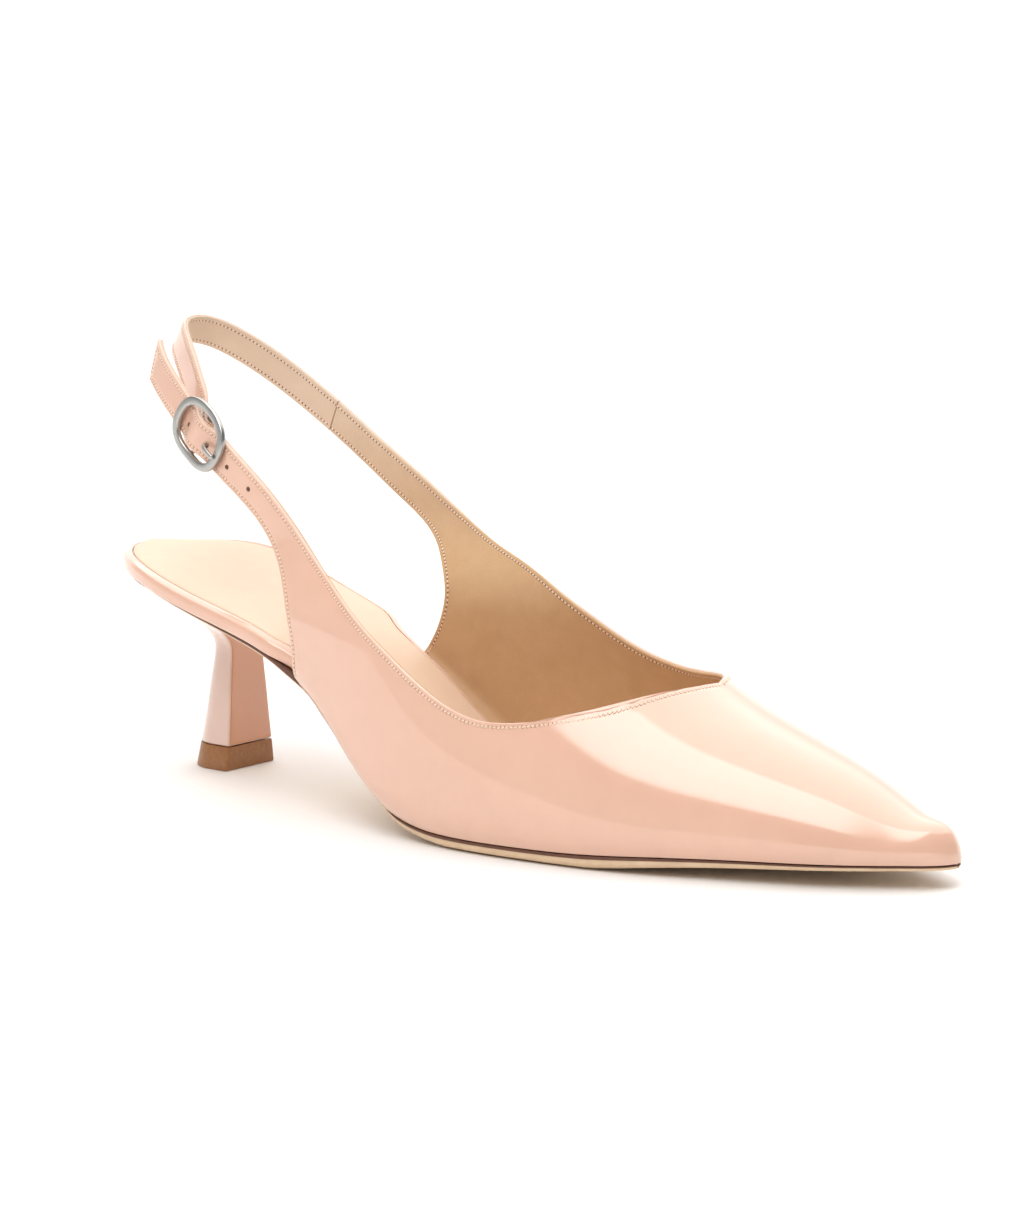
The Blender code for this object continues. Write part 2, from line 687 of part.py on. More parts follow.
# Heel block: rise from the top piece to the sole, half width as a share of the heel's or, in the
# cup, of the seat's, front and back as shares of the heel's own, and how much of the side is flat
HEEL = table("rise width cup front back flat", [
    (0.00, 0.890, 0.00, 1.04, 0.86, 0.42),
    (0.20, 0.810, 0.00, 1.01, 0.62, 0.42),
    (0.40, 0.735, 0.00, 0.98, 0.43, 0.42),
    (0.58, 0.660, 0.00, 0.95, 0.27, 0.40),
    (0.67, 0.655, 0.01, 0.95, 0.28, 0.38),
    (0.76, 0.700, 0.12, 0.97, 0.42, 0.36),
    (0.84, 0.760, 0.36, 1.00, 0.70, 0.34),
    (0.91, 0.820, 0.66, 1.10, 1.00, 0.32),
    (0.96, 0.860, 0.86, 1.25, 1.10, 0.30),
    (1.00, 0.900, 1.00, 1.40, 1.15, 0.28)])
HEEL_LEVELS = [0.0, 0.1, 0.2, 0.3, 0.4, 0.5, 0.58, 0.64, 0.70, 0.76, 0.81, 0.86, 0.90, 0.94, 0.97, 1.0]
ARC_POINTS = 15
TOP_PIECE_SECTIONS = table("height width front back", [
    (0.0, 1.000, 1.00, 1.000),
    (1.0, 0.893, 1.04, 0.865)])


def d_loop(front, back, half, flat):
    """Closed outline with a flat front, straight sides and a round back."""
    middle = front - flat * (front - back)
    turn = np.linspace(-math.pi / 2.0, math.pi / 2.0, ARC_POINTS)
    x = np.r_[front, middle - (middle - back) * np.cos(turn), front, front]
    y = np.r_[-half, half * np.sin(turn), half, 0.0]
    return x, y


def heel_underside(x):
    """Height of the heel's seat, just under the outsole."""
    return feather_z(x) - sole_thickness(share(x)) - GAP


def build_heel(finish):
    """Flared heel: waisted above the top piece and opened into a cup under the seat."""
    columns = {name: spline(HEEL["rise"], HEEL[name]) for name in HEEL if name != "rise"}
    seat_back = HEEL_SETBACK - CUP_INSET - TUCK
    seat_half = 0.5 * SEAT_WIDTH - CUP_INSET - CUP_TUCK * TUCK
    loops = []
    for rise in HEEL_LEVELS:
        cup = float(np.clip(columns["cup"](rise), 0.0, 1.0))
        half = (1.0 - cup) * 0.5 * HEEL_WIDTH * columns["width"](rise) + cup * seat_half
        back = (1.0 - cup) * HEEL_BACK * columns["back"](rise) + cup * seat_back
        x, y = d_loop(HEEL_FRONT * columns["front"](rise), -back, half, columns["flat"](rise))
        base = TOP_PIECE + GAP
        z = base + rise * (heel_underside(x) - base)
        loops.append(np.stack([x, y, z], axis=-1))
    points, faces = loft(loops)
    return add_object("heel", points, faces, finish, sharp=40.0)


def build_top_piece(finish):
    """Top piece under the heel, flat on the floor and flared with it."""
    loops = []
    for height, width, front, back in zip(*TOP_PIECE_SECTIONS.values()):
        x, y = d_loop(HEEL_FRONT * front, -HEEL_BACK * back, 0.5 * HEEL_WIDTH * width, TOP_PIECE_FLAT)
        loops.append(np.stack([x, y, 0.0 * x + TOP_PIECE * height], axis=-1))
    points, faces = loft(loops)
    return add_object("top_piece", points, faces, finish)


STRAP_COLUMNS = 44


def bar_centre():
    """Middle of the buckle's bar in the ankle's axes."""
    normal = unit(np.array([math.sin(BUCKLE_TURN) / ANKLE_DEPTH,
                            -math.cos(BUCKLE_TURN) / ANKLE_HALF_WIDTH]))
    face = np.array([ANKLE_DEPTH * math.sin(BUCKLE_TURN), -ANKLE_HALF_WIDTH * math.cos(BUCKLE_TURN)])
    return face + normal * bar_level()


def bar_level():
    """How far out the bar lies: the strap over it clears the fold round it."""
    return HUMP - WALL - GAP - FOLD_THICK - GAP - BAR_RADIUS


def strap_route():
    """Middle line of the strap in the ankle's axes, with its thickness and lean at each point."""
    centre = bar_centre()
    turn_radius = BAR_RADIUS + GAP + 0.5 * FOLD_THICK
    rows = np.stack([STRAP_RUN["back"] * ANKLE_DEPTH, STRAP_RUN["side"] * ANKLE_HALF_WIDTH], axis=-1)
    rows[0, 0] = SEAM_BACK + GAP
    leave = unit(rows[-1] - centre)
    out = np.array([leave[1], -leave[0]])
    rows = np.concatenate([rows, [centre + out * turn_radius + leave * BAR_LEAD]])
    lean = np.r_[STRAP_RUN["lean"], BUCKLE_LEAN]
    length = np.r_[0.0, np.cumsum(np.linalg.norm(np.diff(rows, axis=0), axis=1))]
    places = np.linspace(0.0, length[-1], STRAP_COLUMNS)
    main = np.stack([spline(length, rows[:, 0])(places), spline(length, rows[:, 1])(places)], axis=-1)
    pared = smooth((places - length[-1]) / FOLD_LENGTH + PARED)
    thick = STRAP_THICK + (FOLD_THICK - STRAP_THICK) * pared
    angles = np.linspace(0.0, math.pi, 9)[:, None]
    wrap = centre + turn_radius * (np.cos(angles) * out - np.sin(angles) * leave)
    back_run = np.linspace(0.0, 1.0, 8)[1:, None]
    spacing = FOLD_THICK + GAP + 0.5 * (STRAP_THICK - FOLD_THICK)
    shift = 2.0 * turn_radius - (2.0 * turn_radius - spacing) * smooth(back_run * FOLD_CLOSE)
    fold = centre + out * (turn_radius - shift) + leave * FOLD_LENGTH * back_run
    path = np.concatenate([main, wrap[1:], fold])
    thick = np.r_[thick, np.full(len(path) - len(thick), FOLD_THICK)]
    lean_all = np.r_[spline(length, lean)(places), np.full(len(path) - len(main), lean[-1])]
    return path, thick, lean_all


def build_back_strap(finish):
    """Sling from the medial seam round the heel, folded round the buckle's bar."""
    path, thick, lean = strap_route()
    run = unit(np.gradient(path, axis=0))
    out = np.stack([-run[:, 1], run[:, 0]], axis=-1)
    if out[0, 1] < 0.0:
        out = -out
    rows = np.linspace(-0.5, 0.5, 5) * STRAP_WIDTH
    fade = 1.0 - smooth(np.arange(len(path)) / SEAM_FADE)
    loops = []
    for i in range(len(path)):
        slant = rows / STRAP_WIDTH * SEAM_SLANT * fade[i]
        middle = path[i][None, :] + run[i][None, :] * slant[:, None]
        outer = middle + out[i][None, :] * thick[i] * 0.5
        inner = middle - out[i][None, :] * thick[i] * 0.5
        face = from_ankle(outer[:, 0], outer[:, 1], lean[i] + rows)
        rear = from_ankle(inner[:, 0], inner[:, 1], lean[i] + rows)
        loops.append(np.concatenate([face, rear[::-1]]))
    points, faces = loft(loops)
    strap = add_object("back_strap", points, faces, finish)
    cut(strap, prong_slot())
    return strap


def prong_slot():
    """Cutter for the slot that lets the prong out of the fold."""
    half = PRONG_RADIUS + GAP
    loops = []
    for level in (bar_level() - 4.0 * FOLD_THICK, HUMP - WALL):
        corners = [(-SLOT_AHEAD, -half), (SLOT_BEHIND, -half), (SLOT_BEHIND, half), (-SLOT_AHEAD, half)]
        loops.append([strap_frame(run, across, level) for run, across in corners])
    points, faces = loft(loops)
    return add_object("prong_slot", points, faces, None)


def ellipse_sweep(centres, sides, ups, half_side, half_up, closed, count=8):
    """Solid of an elliptical wire along a path with given side and up directions."""
    angles = np.linspace(0.0, 2.0 * math.pi, count, endpoint=False)
    ring = (np.cos(angles)[None, :, None] * half_side * sides[:, None, :]
            + np.sin(angles)[None, :, None] * half_up * ups[:, None, :])
    return loft(centres[:, None, :] + ring, closed)


def ring_level(run):
    """Height of the ring off the ankle's face: its ends ride over the strap, its sides dip."""
    end = RING_REST + RING_THICK
    side = bar_level() + RING_DIP
    return side + (end - side) * (np.abs(run) / RING_HALF_LENGTH) ** RING_BOW


def build_buckle(finish):
    """Oval buckle frame with its centre bar."""
    turn = np.linspace(0.0, 2.0 * math.pi, 36, endpoint=False)
    power = 2.0 / RING_SQUARENESS
    run = RING_HALF_LENGTH * np.sign(np.cos(turn)) * np.abs(np.cos(turn)) ** power
    across = RING_HALF_WIDTH * np.sign(np.sin(turn)) * np.abs(np.sin(turn)) ** power
    level = ring_level(run)
    run = run - RING_AHEAD
    across = across + RING_UP
    centres = strap_frame(run, across, level)
    ups = unit(strap_frame(run, across, level + RING_THICK) - centres)
    sides = unit(np.cross(np.roll(centres, -1, axis=0) - np.roll(centres, 1, axis=0), ups))
    points, faces = ellipse_sweep(centres, sides, ups, RING_WIRE, RING_THICK, closed=True)
    frame = add_object("buckle_frame", points, faces, finish)
    reach = RING_HALF_WIDTH - BAR_BEND
    low = bar_level()
    high = float(ring_level(0.0))
    stops = np.array([(-RING_HALF_WIDTH, high), (-reach, low), (-0.5 * reach, low), (0.0, low),
                      (0.5 * reach, low), (reach, low), (RING_HALF_WIDTH, high)])
    stops[:, 0] += RING_UP
    centres = strap_frame(0.0, stops[:, 0], stops[:, 1])
    sides = unit(strap_frame(BAR_RADIUS, stops[:, 0], stops[:, 1]) - centres)
    ups = unit(np.cross(np.gradient(centres, axis=0), sides))
    points, faces = ellipse_sweep(centres, sides, ups, BAR_RADIUS, BAR_RADIUS, closed=False)
    bar = add_object("buckle_bar", points, faces, finish)
    cut(frame, bar, "UNION")
    return frame


def build_prong(finish):
    """Prong: from the bar through the slot and the punched hole on to the frame's front rim."""
    start = -(BAR_RADIUS + GAP + PRONG_RADIUS)
    low = bar_level()
    rest = float(ring_level(RING_HALF_LENGTH)) + RING_THICK + GAP + PRONG_RADIUS
    hole = -HOLE_OFFSET
    end = -RING_HALF_LENGTH - RING_AHEAD - 0.2 * RING_WIRE
    stops = np.array([
        (start, low), (0.5 * (start + hole), low - PRONG_SAG), (hole + 0.0007, low + 0.0001),
        (hole + 0.0001, low + 0.0010), (hole, -PRONG_SAG), (hole, 0.5 * PRONG_TOP),
        (hole - 0.0005, PRONG_TOP), (hole - PRONG_BEND, rest - PRONG_SAG), (end + PRONG_REST, rest),
        (end, rest)])
    length = np.r_[0.0, np.cumsum(np.linalg.norm(np.diff(stops, axis=0), axis=1))]
    places = np.linspace(0.0, length[-1], 22)
    run = spline(length, stops[:, 0])(places)
    level = spline(length, stops[:, 1])(places)
    centres = strap_frame(run, 0.0, level)
    sides = unit(strap_frame(run, PRONG_RADIUS, level) - centres)
    ups = unit(np.cross(np.gradient(centres, axis=0), sides))
    points, faces = ellipse_sweep(centres, sides, ups, PRONG_RADIUS, PRONG_RADIUS, closed=False)
    return add_object("buckle_prong", points, faces, finish)


def main():
    """Clear the scene and build each sub-part."""
    for old in list(bpy.data.objects):
        bpy.data.objects.remove(old)
    patent = material("patent_leather", (0.87, 0.60, 0.49), 0.12, coat=1.0)
    lining = material("sock_leather", (0.86, 0.70, 0.54), 0.55)
    sole = material("sole_leather", (0.42, 0.22, 0.13), 0.6)
    stacked = material("top_piece_rubber", (0.45, 0.24, 0.12), 0.45)
    nickel = material("satin_nickel", (0.62, 0.61, 0.58), 0.3, metallic=1.0)
    build_outsole(sole)
    build_upper(patent)
    build_board(material("covered_board", (0.88, 0.64, 0.54), 0.2, coat=0.8))
    build_sock(lining)
    build_heel(material("covered_heel", (0.80, 0.52, 0.40), 0.15, coat=1.0))
    build_top_piece(stacked)
    build_back_strap(material("patent_strap", (0.87, 0.60, 0.49), 0.12, coat=1.0))
    build_buckle(nickel)
    build_prong(material("prong_nickel", (0.62, 0.61, 0.58), 0.3, metallic=1.0))


main()
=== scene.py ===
"""Looks of the slingback pump, right shoe: patent leather over a tan lining, stitched edges, a
covered rim and heel, a dyed sole edge and a satin nickel buckle.

Metres, X to the toe, Y to the medial side, Z up, origin on the floor under the heel. Each piece
is a surface of two parameters on a fine grid, laid on the same last as the solid it stands for.
"""

import math

import bpy
import numpy as np
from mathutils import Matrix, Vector


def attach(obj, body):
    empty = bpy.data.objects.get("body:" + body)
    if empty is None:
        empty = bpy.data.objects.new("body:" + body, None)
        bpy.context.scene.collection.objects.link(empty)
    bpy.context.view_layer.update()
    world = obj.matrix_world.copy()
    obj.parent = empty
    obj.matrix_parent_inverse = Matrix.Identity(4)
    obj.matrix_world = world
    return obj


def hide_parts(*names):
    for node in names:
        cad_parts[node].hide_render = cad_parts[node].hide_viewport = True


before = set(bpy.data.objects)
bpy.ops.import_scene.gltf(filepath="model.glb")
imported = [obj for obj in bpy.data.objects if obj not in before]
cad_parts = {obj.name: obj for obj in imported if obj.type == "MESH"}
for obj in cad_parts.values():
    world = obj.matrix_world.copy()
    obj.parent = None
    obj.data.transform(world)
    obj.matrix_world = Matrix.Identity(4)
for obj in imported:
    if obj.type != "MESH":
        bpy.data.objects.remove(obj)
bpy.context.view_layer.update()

# The last, as in the solids
LENGTH = 0.2500
HEEL_SETBACK = 0.0305
BALL_WIDTH = 0.0760
SEAT_WIDTH = 0.0500
INSTEP_HEIGHT = 0.0360
HEEL_RISE = 0.0470
TOE_SPRING = 0.0026
LATERAL_ROUNDNESS = 2.2
MEDIAL_ROUNDNESS = 1.65
BELLY = 0.0012
WIDTH_START = 0.12       # where a section's shares begin to pass from the seat's width to the ball's
WIDTH_RUN = 0.42         # and how much further on they have done so

ANKLE_HALF_WIDTH = 0.0272
ANKLE_DEPTH = 0.0620
ANKLE_TILT = math.radians(33)
ANKLE_X = 0.03415
ANKLE_Z = 0.0760
ANKLE_BLEND_LOW = 0.0420
ANKLE_BLEND_HIGH = 0.0700
ANKLE_BLEND_X = 0.0730
ANKLE_BLEND_RUN = 0.0450
FRONT_OPENING = 0.125    # how much the ankle's oval opens in front of its middle

# Leather and sole
GAP = 0.0003
WALL = 0.0016
PATENT = 0.0009          # outer layer of the wall, the rest is lining
TUCK = 0.0028
TUCK_RISE = 0.0045
FOOT_TURN = 0.1          # turn over which the gap that lifts the upper's foot fades
WAIST_INSET = 0.0014
OUTSOLE = 0.0033
EDGE_SHARE = 0.22        # of the sole's thickness that is the dyed edge
SOLE_UNDERCUT = 0.0034
TREAD_RUN = 0.0030       # from the tread's edge in to its level rows
BOARD = 0.0041
BOARD_CORNER = 0.0006    # rounding of the board's lower corner
CREST_DROP = 0.00075     # crest of the board's edge below the top of its rim
RIM = 0.0024
COVERED_RIM = 0.0006
SOCK_RECESS = 0.0010
PAD = 0.0007             # cushion of the sock over the seat
RIM_LIFT = 0.0012        # medial rim of the seat above the lateral one

# Heel
TOP_PIECE = 0.0060
HEEL_WIDTH = 0.0184
HEEL_FRONT = 0.0074
HEEL_BACK = 0.0074
CUP_INSET = 0.0016
HEEL_CORNER = 0.0007
HEEL_LIP = 0.0003        # rounding of the cover's lower edge
HEEL_LIP_RISE = 0.012    # share of the heel's height that it takes

# Strap and buckle
STRAP_WIDTH = 0.0082
STRAP_THICK = 0.0014
STRAP_PATENT = 0.56      # share of the strap's thickness that is patent
FOLD_THICK = 0.0008
FOLD_LENGTH = 0.0110
FLARE = 0.0007
FLARE_START = 0.52       # where the lateral flare begins, as a share of the ankle's depth
FLARE_RUN = 0.38
BUCKLE_TURN = math.radians(21.5)
BUCKLE_LEAN = -0.0005
RING_HALF_LENGTH = 0.0088
RING_HALF_WIDTH = 0.0067
RING_AHEAD = 0.0006
RING_UP = 0.0003
RING_SQUARENESS = 2.5
RING_WIRE = 0.0011
RING_THICK = 0.00075
RING_DIP = 0.0021
RING_REST = 0.00042
RING_BOW = 1.7
BAR_RADIUS = 0.00055
HUMP = 0.00165
HUMP_REACH = 0.0062
STRAP_TIP = 0.0290
TIP_SLANT = 0.0056
SEAM_BACK = 0.0222
SEAM_SLANT = 0.0015
SEAM_GAP = 0.00006       # the sewn seam, closed nearer than the solids
PRONG_RADIUS = 0.00045
HOLE_RADIUS = 0.0006
HOLE_OFFSET = 0.0044
HOLE_PITCH = 0.0082
HOLE_STEPS = (-1, 1, 2)  # punched holes besides the prong's, counted from it towards the toe
HOLE_DROP = 0.0003       # holes below the strap's middle
# The punched holes are discs of painted shade
HOLE_LIFT = 0.00004      # their dark discs off the leather
HOLE_DISH = 0.00002

# Edges and stitches
EDGE_ROUND = 0.0004
LAYER_ROUND = 0.00014    # edge of each layer where the two meet
STITCH_INSET = 0.00112   # row of stitches from the edge
STITCH_PITCH = 0.00108
STITCH_HALF = 0.00045    # half length
STITCH_WIDE = 0.00021
STITCH_HIGH = 0.00017
STITCH_SLANT = math.radians(30)
NEEDLE = 0.00018
LINING_NEEDLE = 0.00024
GROOVE = 0.00012         # dent that the row pulls into the leather
GROOVE_WIDTH = 0.00036
NEEDLE_LIFT = 0.00006    # needle holes off the groove's floor
LINING_LIFT = 0.00003    # and off the lining's face
CLEAR_SHARE = 0.93       # of the inset, within which points of a row are left out
TURN_LENGTH = 0.55       # what one unit of turn counts for along an edge, beside one of along

LATERAL = -1
MEDIAL = 1


def table(columns, rows):
    """Named columns of a short table that has one row for each section."""
    values = np.array(rows, float)
    return {name: values[:, index] for index, name in enumerate(columns.split())}


LAST = table("along lateral medial crown", [
    (0.000, 0.000, 0.000, 4.17),
    (0.020, 0.220, 0.220, 4.11),
    (0.060, 0.386, 0.388, 4.00),
    (0.120, 0.508, 0.494, 3.83),
    (0.200, 0.549, 0.438, 3.61),
    (0.320, 0.527, 0.266, 3.11),
    (0.440, 0.540, 0.290, 2.50),
    (0.540, 0.567, 0.391, 1.92),
    (0.640, 0.547, 0.450, 1.43),
    (0.730, 0.492, 0.403, 1.00),
    (0.820, 0.386, 0.325, 0.711),
    (0.900, 0.279, 0.230, 0.492),
    (0.960, 0.158, 0.139, 0.286),
    (0.985, 0.092, 0.082, 0.236),
    (1.000, 0.000, 0.000, 0.000)])

FEATHER = table("along rise spring outsole tuck board", [
    (0.00, 1.000, 0.00, 0.20, 0.45, 1.00),
    (0.08, 0.960, 0.00, 0.20, 0.45, 1.00),
    (0.16, 0.870, 0.00, 0.27, 0.45, 1.00),
    (0.24, 0.778, 0.00, 0.48, 0.45, 1.00),
    (0.32, 0.635, 0.00, 0.52, 0.45, 1.01),
    (0.38, 0.404, 0.00, 0.48, 0.75, 0.98),
    (0.44, 0.139, 0.00, 0.50, 0.85, 0.82),
    (0.50, 0.020, 0.00, 0.72, 0.70, 0.67),
    (0.55, 0.000, 0.00, 0.98, 0.54, 0.60),
    (0.62, 0.000, 0.00, 1.06, 0.45, 0.60),
    (0.69, 0.000, 0.14, 1.06, 0.43, 0.60),
    (0.75, 0.000, 0.46, 0.88, 0.43, 0.60),
    (0.86, 0.000, 0.81, 0.58, 0.43, 0.60),
    (1.00, 0.000, 1.00, 0.40, 0.43, 0.60)])

STRAP_RUN = table("back side lean", [
    (0.363, 0.904, -0.0006),
    (0.56, 0.820, -0.0001),
    (0.71, 0.695, 0.0006),
    (0.83, 0.545, 0.0011),
    (0.915, 0.375, 0.0014),
    (0.955, 0.175, 0.0014),
    (0.940, -0.020, 0.0014),
    (0.855, -0.200, 0.0016),
    (0.715, -0.395, 0.0018),
    (0.565, -0.605, 0.0018),
    (0.455, -0.760, 0.0012)])

# Edges of the upper on the last: along, and turn from the feather line (0) to the crown (1)
LATERAL_TOP_BACK = [(0.285, 0.185), (0.333, 0.168), (0.396, 0.205), (0.459, 0.262)]
LATERAL_TOP_FRONT = [
    (0.518, 0.272), (0.575, 0.277), (0.623, 0.331), (0.665, 0.427), (0.699, 0.561),
    (0.722, 0.747), (0.732, 0.880), (0.737, 1.000)]
LATERAL_BACK_EDGE = [
    (0.209, 0.164), (0.265, 0.139), (0.298, 0.104), (0.318, 0.066), (0.327, 0.030), (0.327, 0.000)]
MEDIAL_TOP_BACK = [
    (0.233, 0.274), (0.293, 0.262), (0.340, 0.268), (0.388, 0.311), (0.459, 0.415)]
MEDIAL_TOP_FRONT = [
    (0.521, 0.449), (0.568, 0.437), (0.623, 0.462), (0.665, 0.545), (0.700, 0.680),
    (0.726, 0.850), (0.737, 1.000)]
MEDIAL_BACK_EDGE = [
    (0.249, 0.2125), (0.300, 0.197), (0.338, 0.188), (0.3545, 0.172), (0.354, 0.1325),
    (0.343, 0.069), (0.335, 0.027), (0.331, 0.000)]
APEX_FOOT = 0.715
TOE_END = 0.9999
QUARTER_END = 0.325
BOARD_STEP = 0.050

# How fine the grids are
QUARTER_COLUMNS = {LATERAL: 150, MEDIAL: 100}
SIDE_COLUMNS = 64
VAMP_COLUMNS = 84
MIDDLE_ROWS = 20
END_STEPS = np.array([0.0, 0.05, 0.12, 0.22, 0.36, 0.55, 0.80, 1.15, 1.60]) * 1e-3
EDGE_STEPS = np.array([0.0, 0.04, 0.10, 0.19, 0.30, 0.44, 0.62, 0.80, 0.96, 1.12, 1.28, 1.44, 1.64,
                       1.95, 2.40, 3.10]) * 1e-3


def smooth(t):
    """Rise from 0 to 1, level and without bend at both ends."""
    t = np.clip(t, 0.0, 1.0)
    return t ** 3 * (10.0 - 15.0 * t + 6.0 * t * t)


def unit(vectors):
    """Vectors divided by their lengths."""
    return vectors / np.maximum(np.linalg.norm(vectors, axis=-1, keepdims=True), 1e-12)


def spline(knots, values):
    """Natural cubic spline through the rows of a table."""
    knots = np.asarray(knots, float)
    values = np.asarray(values, float)
    count = len(knots)
    step = np.diff(knots)
    matrix = np.eye(count)
    right = np.zeros(count)
    for i in range(1, count - 1):
        matrix[i, i - 1:i + 2] = step[i - 1], 2.0 * (step[i - 1] + step[i]), step[i]
        right[i] = 6.0 * ((values[i + 1] - values[i]) / step[i]
                          - (values[i] - values[i - 1]) / step[i - 1])
    bend = np.linalg.solve(matrix, right)

    def evaluate(x):
        x = np.asarray(x, float)
        i = np.clip(np.searchsorted(knots, x) - 1, 0, count - 2)
        after = knots[i + 1] - x
        before = x - knots[i]
        curve = (bend[i] * after ** 3 + bend[i + 1] * before ** 3) / (6.0 * step[i])
        line = ((values[i] / step[i] - bend[i] * step[i] / 6.0) * after
                + (values[i + 1] / step[i] - bend[i + 1] * step[i] / 6.0) * before)
        return curve + line

    return evaluate


def run_length(points, scale=1.0):
    """Length along a row of points, from 0 at the first."""
    return np.r_[0.0, np.cumsum(np.linalg.norm(np.diff(points, axis=0) * scale, axis=1))]


def curve_at(length, rows, places):
    """Points at given lengths along a smooth plane curve through the rows."""
    return np.stack([spline(length, rows[:, k])(places) for k in range(2)], axis=-1)


def signed_power(value, power):
    """Power of a value's size, with its sign kept."""
    return np.sign(value) * np.abs(value) ** power


def arc(along):
    """Angle whose cosine runs from 1 at the seat to -1 at the toe, which rounds both tips."""
    return np.arccos(1.0 - 2.0 * np.clip(along, 0.0, 1.0))


def unarc(angle):
    """Place along the last for an angle of arc."""
    return (1.0 - np.cos(angle)) / 2.0


LAST_HALF = {LATERAL: spline(arc(LAST["along"]), LAST["lateral"]),
             MEDIAL: spline(arc(LAST["along"]), LAST["medial"])}
LAST_CROWN = spline(arc(LAST["along"]), LAST["crown"])
ROUNDNESS = {LATERAL: LATERAL_ROUNDNESS, MEDIAL: MEDIAL_ROUNDNESS}
RISE = spline(FEATHER["along"], FEATHER["rise"])
SPRING = spline(FEATHER["along"], FEATHER["spring"])
OUTSOLE_SHARE = spline(FEATHER["along"], FEATHER["outsole"])
TUCK_SHARE = spline(FEATHER["along"], FEATHER["tuck"])
BOARD_SHARE = spline(FEATHER["along"], FEATHER["board"])


def share(x):
    """Place along the last, 0 at the back of the seat and 1 at the toe."""
    return (np.asarray(x, float) + HEEL_SETBACK) / LENGTH


def station(along):
    """X of a place along the last."""
    return np.asarray(along, float) * LENGTH - HEEL_SETBACK


def local_width(along):
    """Width that a section's shares refer to, from the seat's to the ball's."""
    return SEAT_WIDTH + (BALL_WIDTH - SEAT_WIDTH) * smooth((np.asarray(along) - WIDTH_START) / WIDTH_RUN)


def feather_half(along, side):
    """Half width of the last at its feather line."""
    return LAST_HALF[side](arc(along)) * local_width(along)


def feather_z(x):
    """Height of the feather line, which is the top of the outsole."""
    along = share(x)
    return OUTSOLE - GAP + HEEL_RISE * RISE(along) + TOE_SPRING * SPRING(along)


def crown_height(along):
    """Height of the crown line above the feather line."""
    return INSTEP_HEIGHT * LAST_CROWN(arc(along))


def tuck(along):
    """How far the upper's lower edge and the sole lie inside the last's half width."""
    tip = np.minimum(1.0, feather_half(along, LATERAL) / (4.0 * TUCK))
    return TUCK * TUCK_SHARE(along) * tip


def ankle_axes(x, z):
    """Distance behind the ankle's middle and height along its lean."""
    back = -(x - ANKLE_X) * math.cos(ANKLE_TILT) + (z - ANKLE_Z) * math.sin(ANKLE_TILT)
    lean = (x - ANKLE_X) * math.sin(ANKLE_TILT) + (z - ANKLE_Z) * math.cos(ANKLE_TILT)
    return back, lean


def from_ankle(back, side, lean):
    """World point from the ankle's own axes."""
    x = ANKLE_X - back * math.cos(ANKLE_TILT) + lean * math.sin(ANKLE_TILT)
    z = ANKLE_Z + back * math.sin(ANKLE_TILT) + lean * math.cos(ANKLE_TILT)
    return np.stack(np.broadcast_arrays(x, side, z), axis=-1)


def ankle_half(x, z, side):
    """Half width of the leaning oval, which opens a little in front of its middle."""
    back, _ = ankle_axes(x, z)
    oval = ANKLE_HALF_WIDTH * np.sqrt(np.clip(1.0 - (back / ANKLE_DEPTH) ** 2, 0.0, 1.0))
    front = ANKLE_HALF_WIDTH * (1.0 + FRONT_OPENING * (back / ANKLE_DEPTH) ** 2)
    half = np.where(back > 0.0, oval, front)
    if side == LATERAL:
        half = half + FLARE * smooth((back - FLARE_START * ANKLE_DEPTH) / (FLARE_RUN * ANKLE_DEPTH))
    return half


def last_half(x, turn, side):
    """Half width of a section of the last at a share of the quarter turn to its crown."""
    half = feather_half(share(x), side)
    angle = turn * math.pi / 2.0
    swell = BELLY * np.minimum(1.0, half / (0.5 * SEAT_WIDTH)) * np.sin(2.0 * angle)
    return half * np.cos(angle) ** (2.0 / ROUNDNESS[side]) + swell


def skin(along, turn, side):
    """Outer face of the upper at a place along the last and a share of the turn to its crown."""
    x = station(along)
    turn = np.clip(turn, 0.0, 1.0)
    rise = crown_height(along) * np.sin(turn * math.pi / 2.0) ** (2.0 / ROUNDNESS[side])
    z = feather_z(x) + rise
    to_ankle = smooth((z - ANKLE_BLEND_LOW) / (ANKLE_BLEND_HIGH - ANKLE_BLEND_LOW))
    to_ankle = to_ankle * (1.0 - smooth((x - ANKLE_BLEND_X) / ANKLE_BLEND_RUN))
    half = (1.0 - to_ankle) * last_half(x, turn, side) + to_ankle * ankle_half(x, z, side)
    tuck_rise = np.minimum(TUCK_RISE, 0.5 * crown_height(along))
    half = half - tuck(along) * np.clip(1.0 - rise / tuck_rise, 0.0, 1.0) ** 2
    return np.stack([x, side * half, z], axis=-1)


def skin_normal(along, turn, side):
    """Outward direction of the upper's outer face, level at its foot and across the crown."""
    step = 1e-4
    angle = arc(along)
    before, after = unarc(angle - step), unarc(angle + step)
    low = np.clip(turn - step, 0.0, 1.0)
    high = np.clip(turn + step, 0.0, 1.0)
    run = skin(after, turn, side) - skin(before, turn, side)
    climb = skin(along, high, side) - skin(along, low, side)
    normal = np.cross(run, climb) * -side
    normal[turn > 1.0 - 1e-9, 1] = 0.0
    normal = unit(normal)
    foot = turn < 1e-9
    normal[foot, 2] = 0.0
    return unit(normal)


def ring_rate():
    """Arc length for each radian round the ankle at the buckle."""
    return math.hypot(ANKLE_DEPTH * math.cos(BUCKLE_TURN), ANKLE_HALF_WIDTH * math.sin(BUCKLE_TURN))


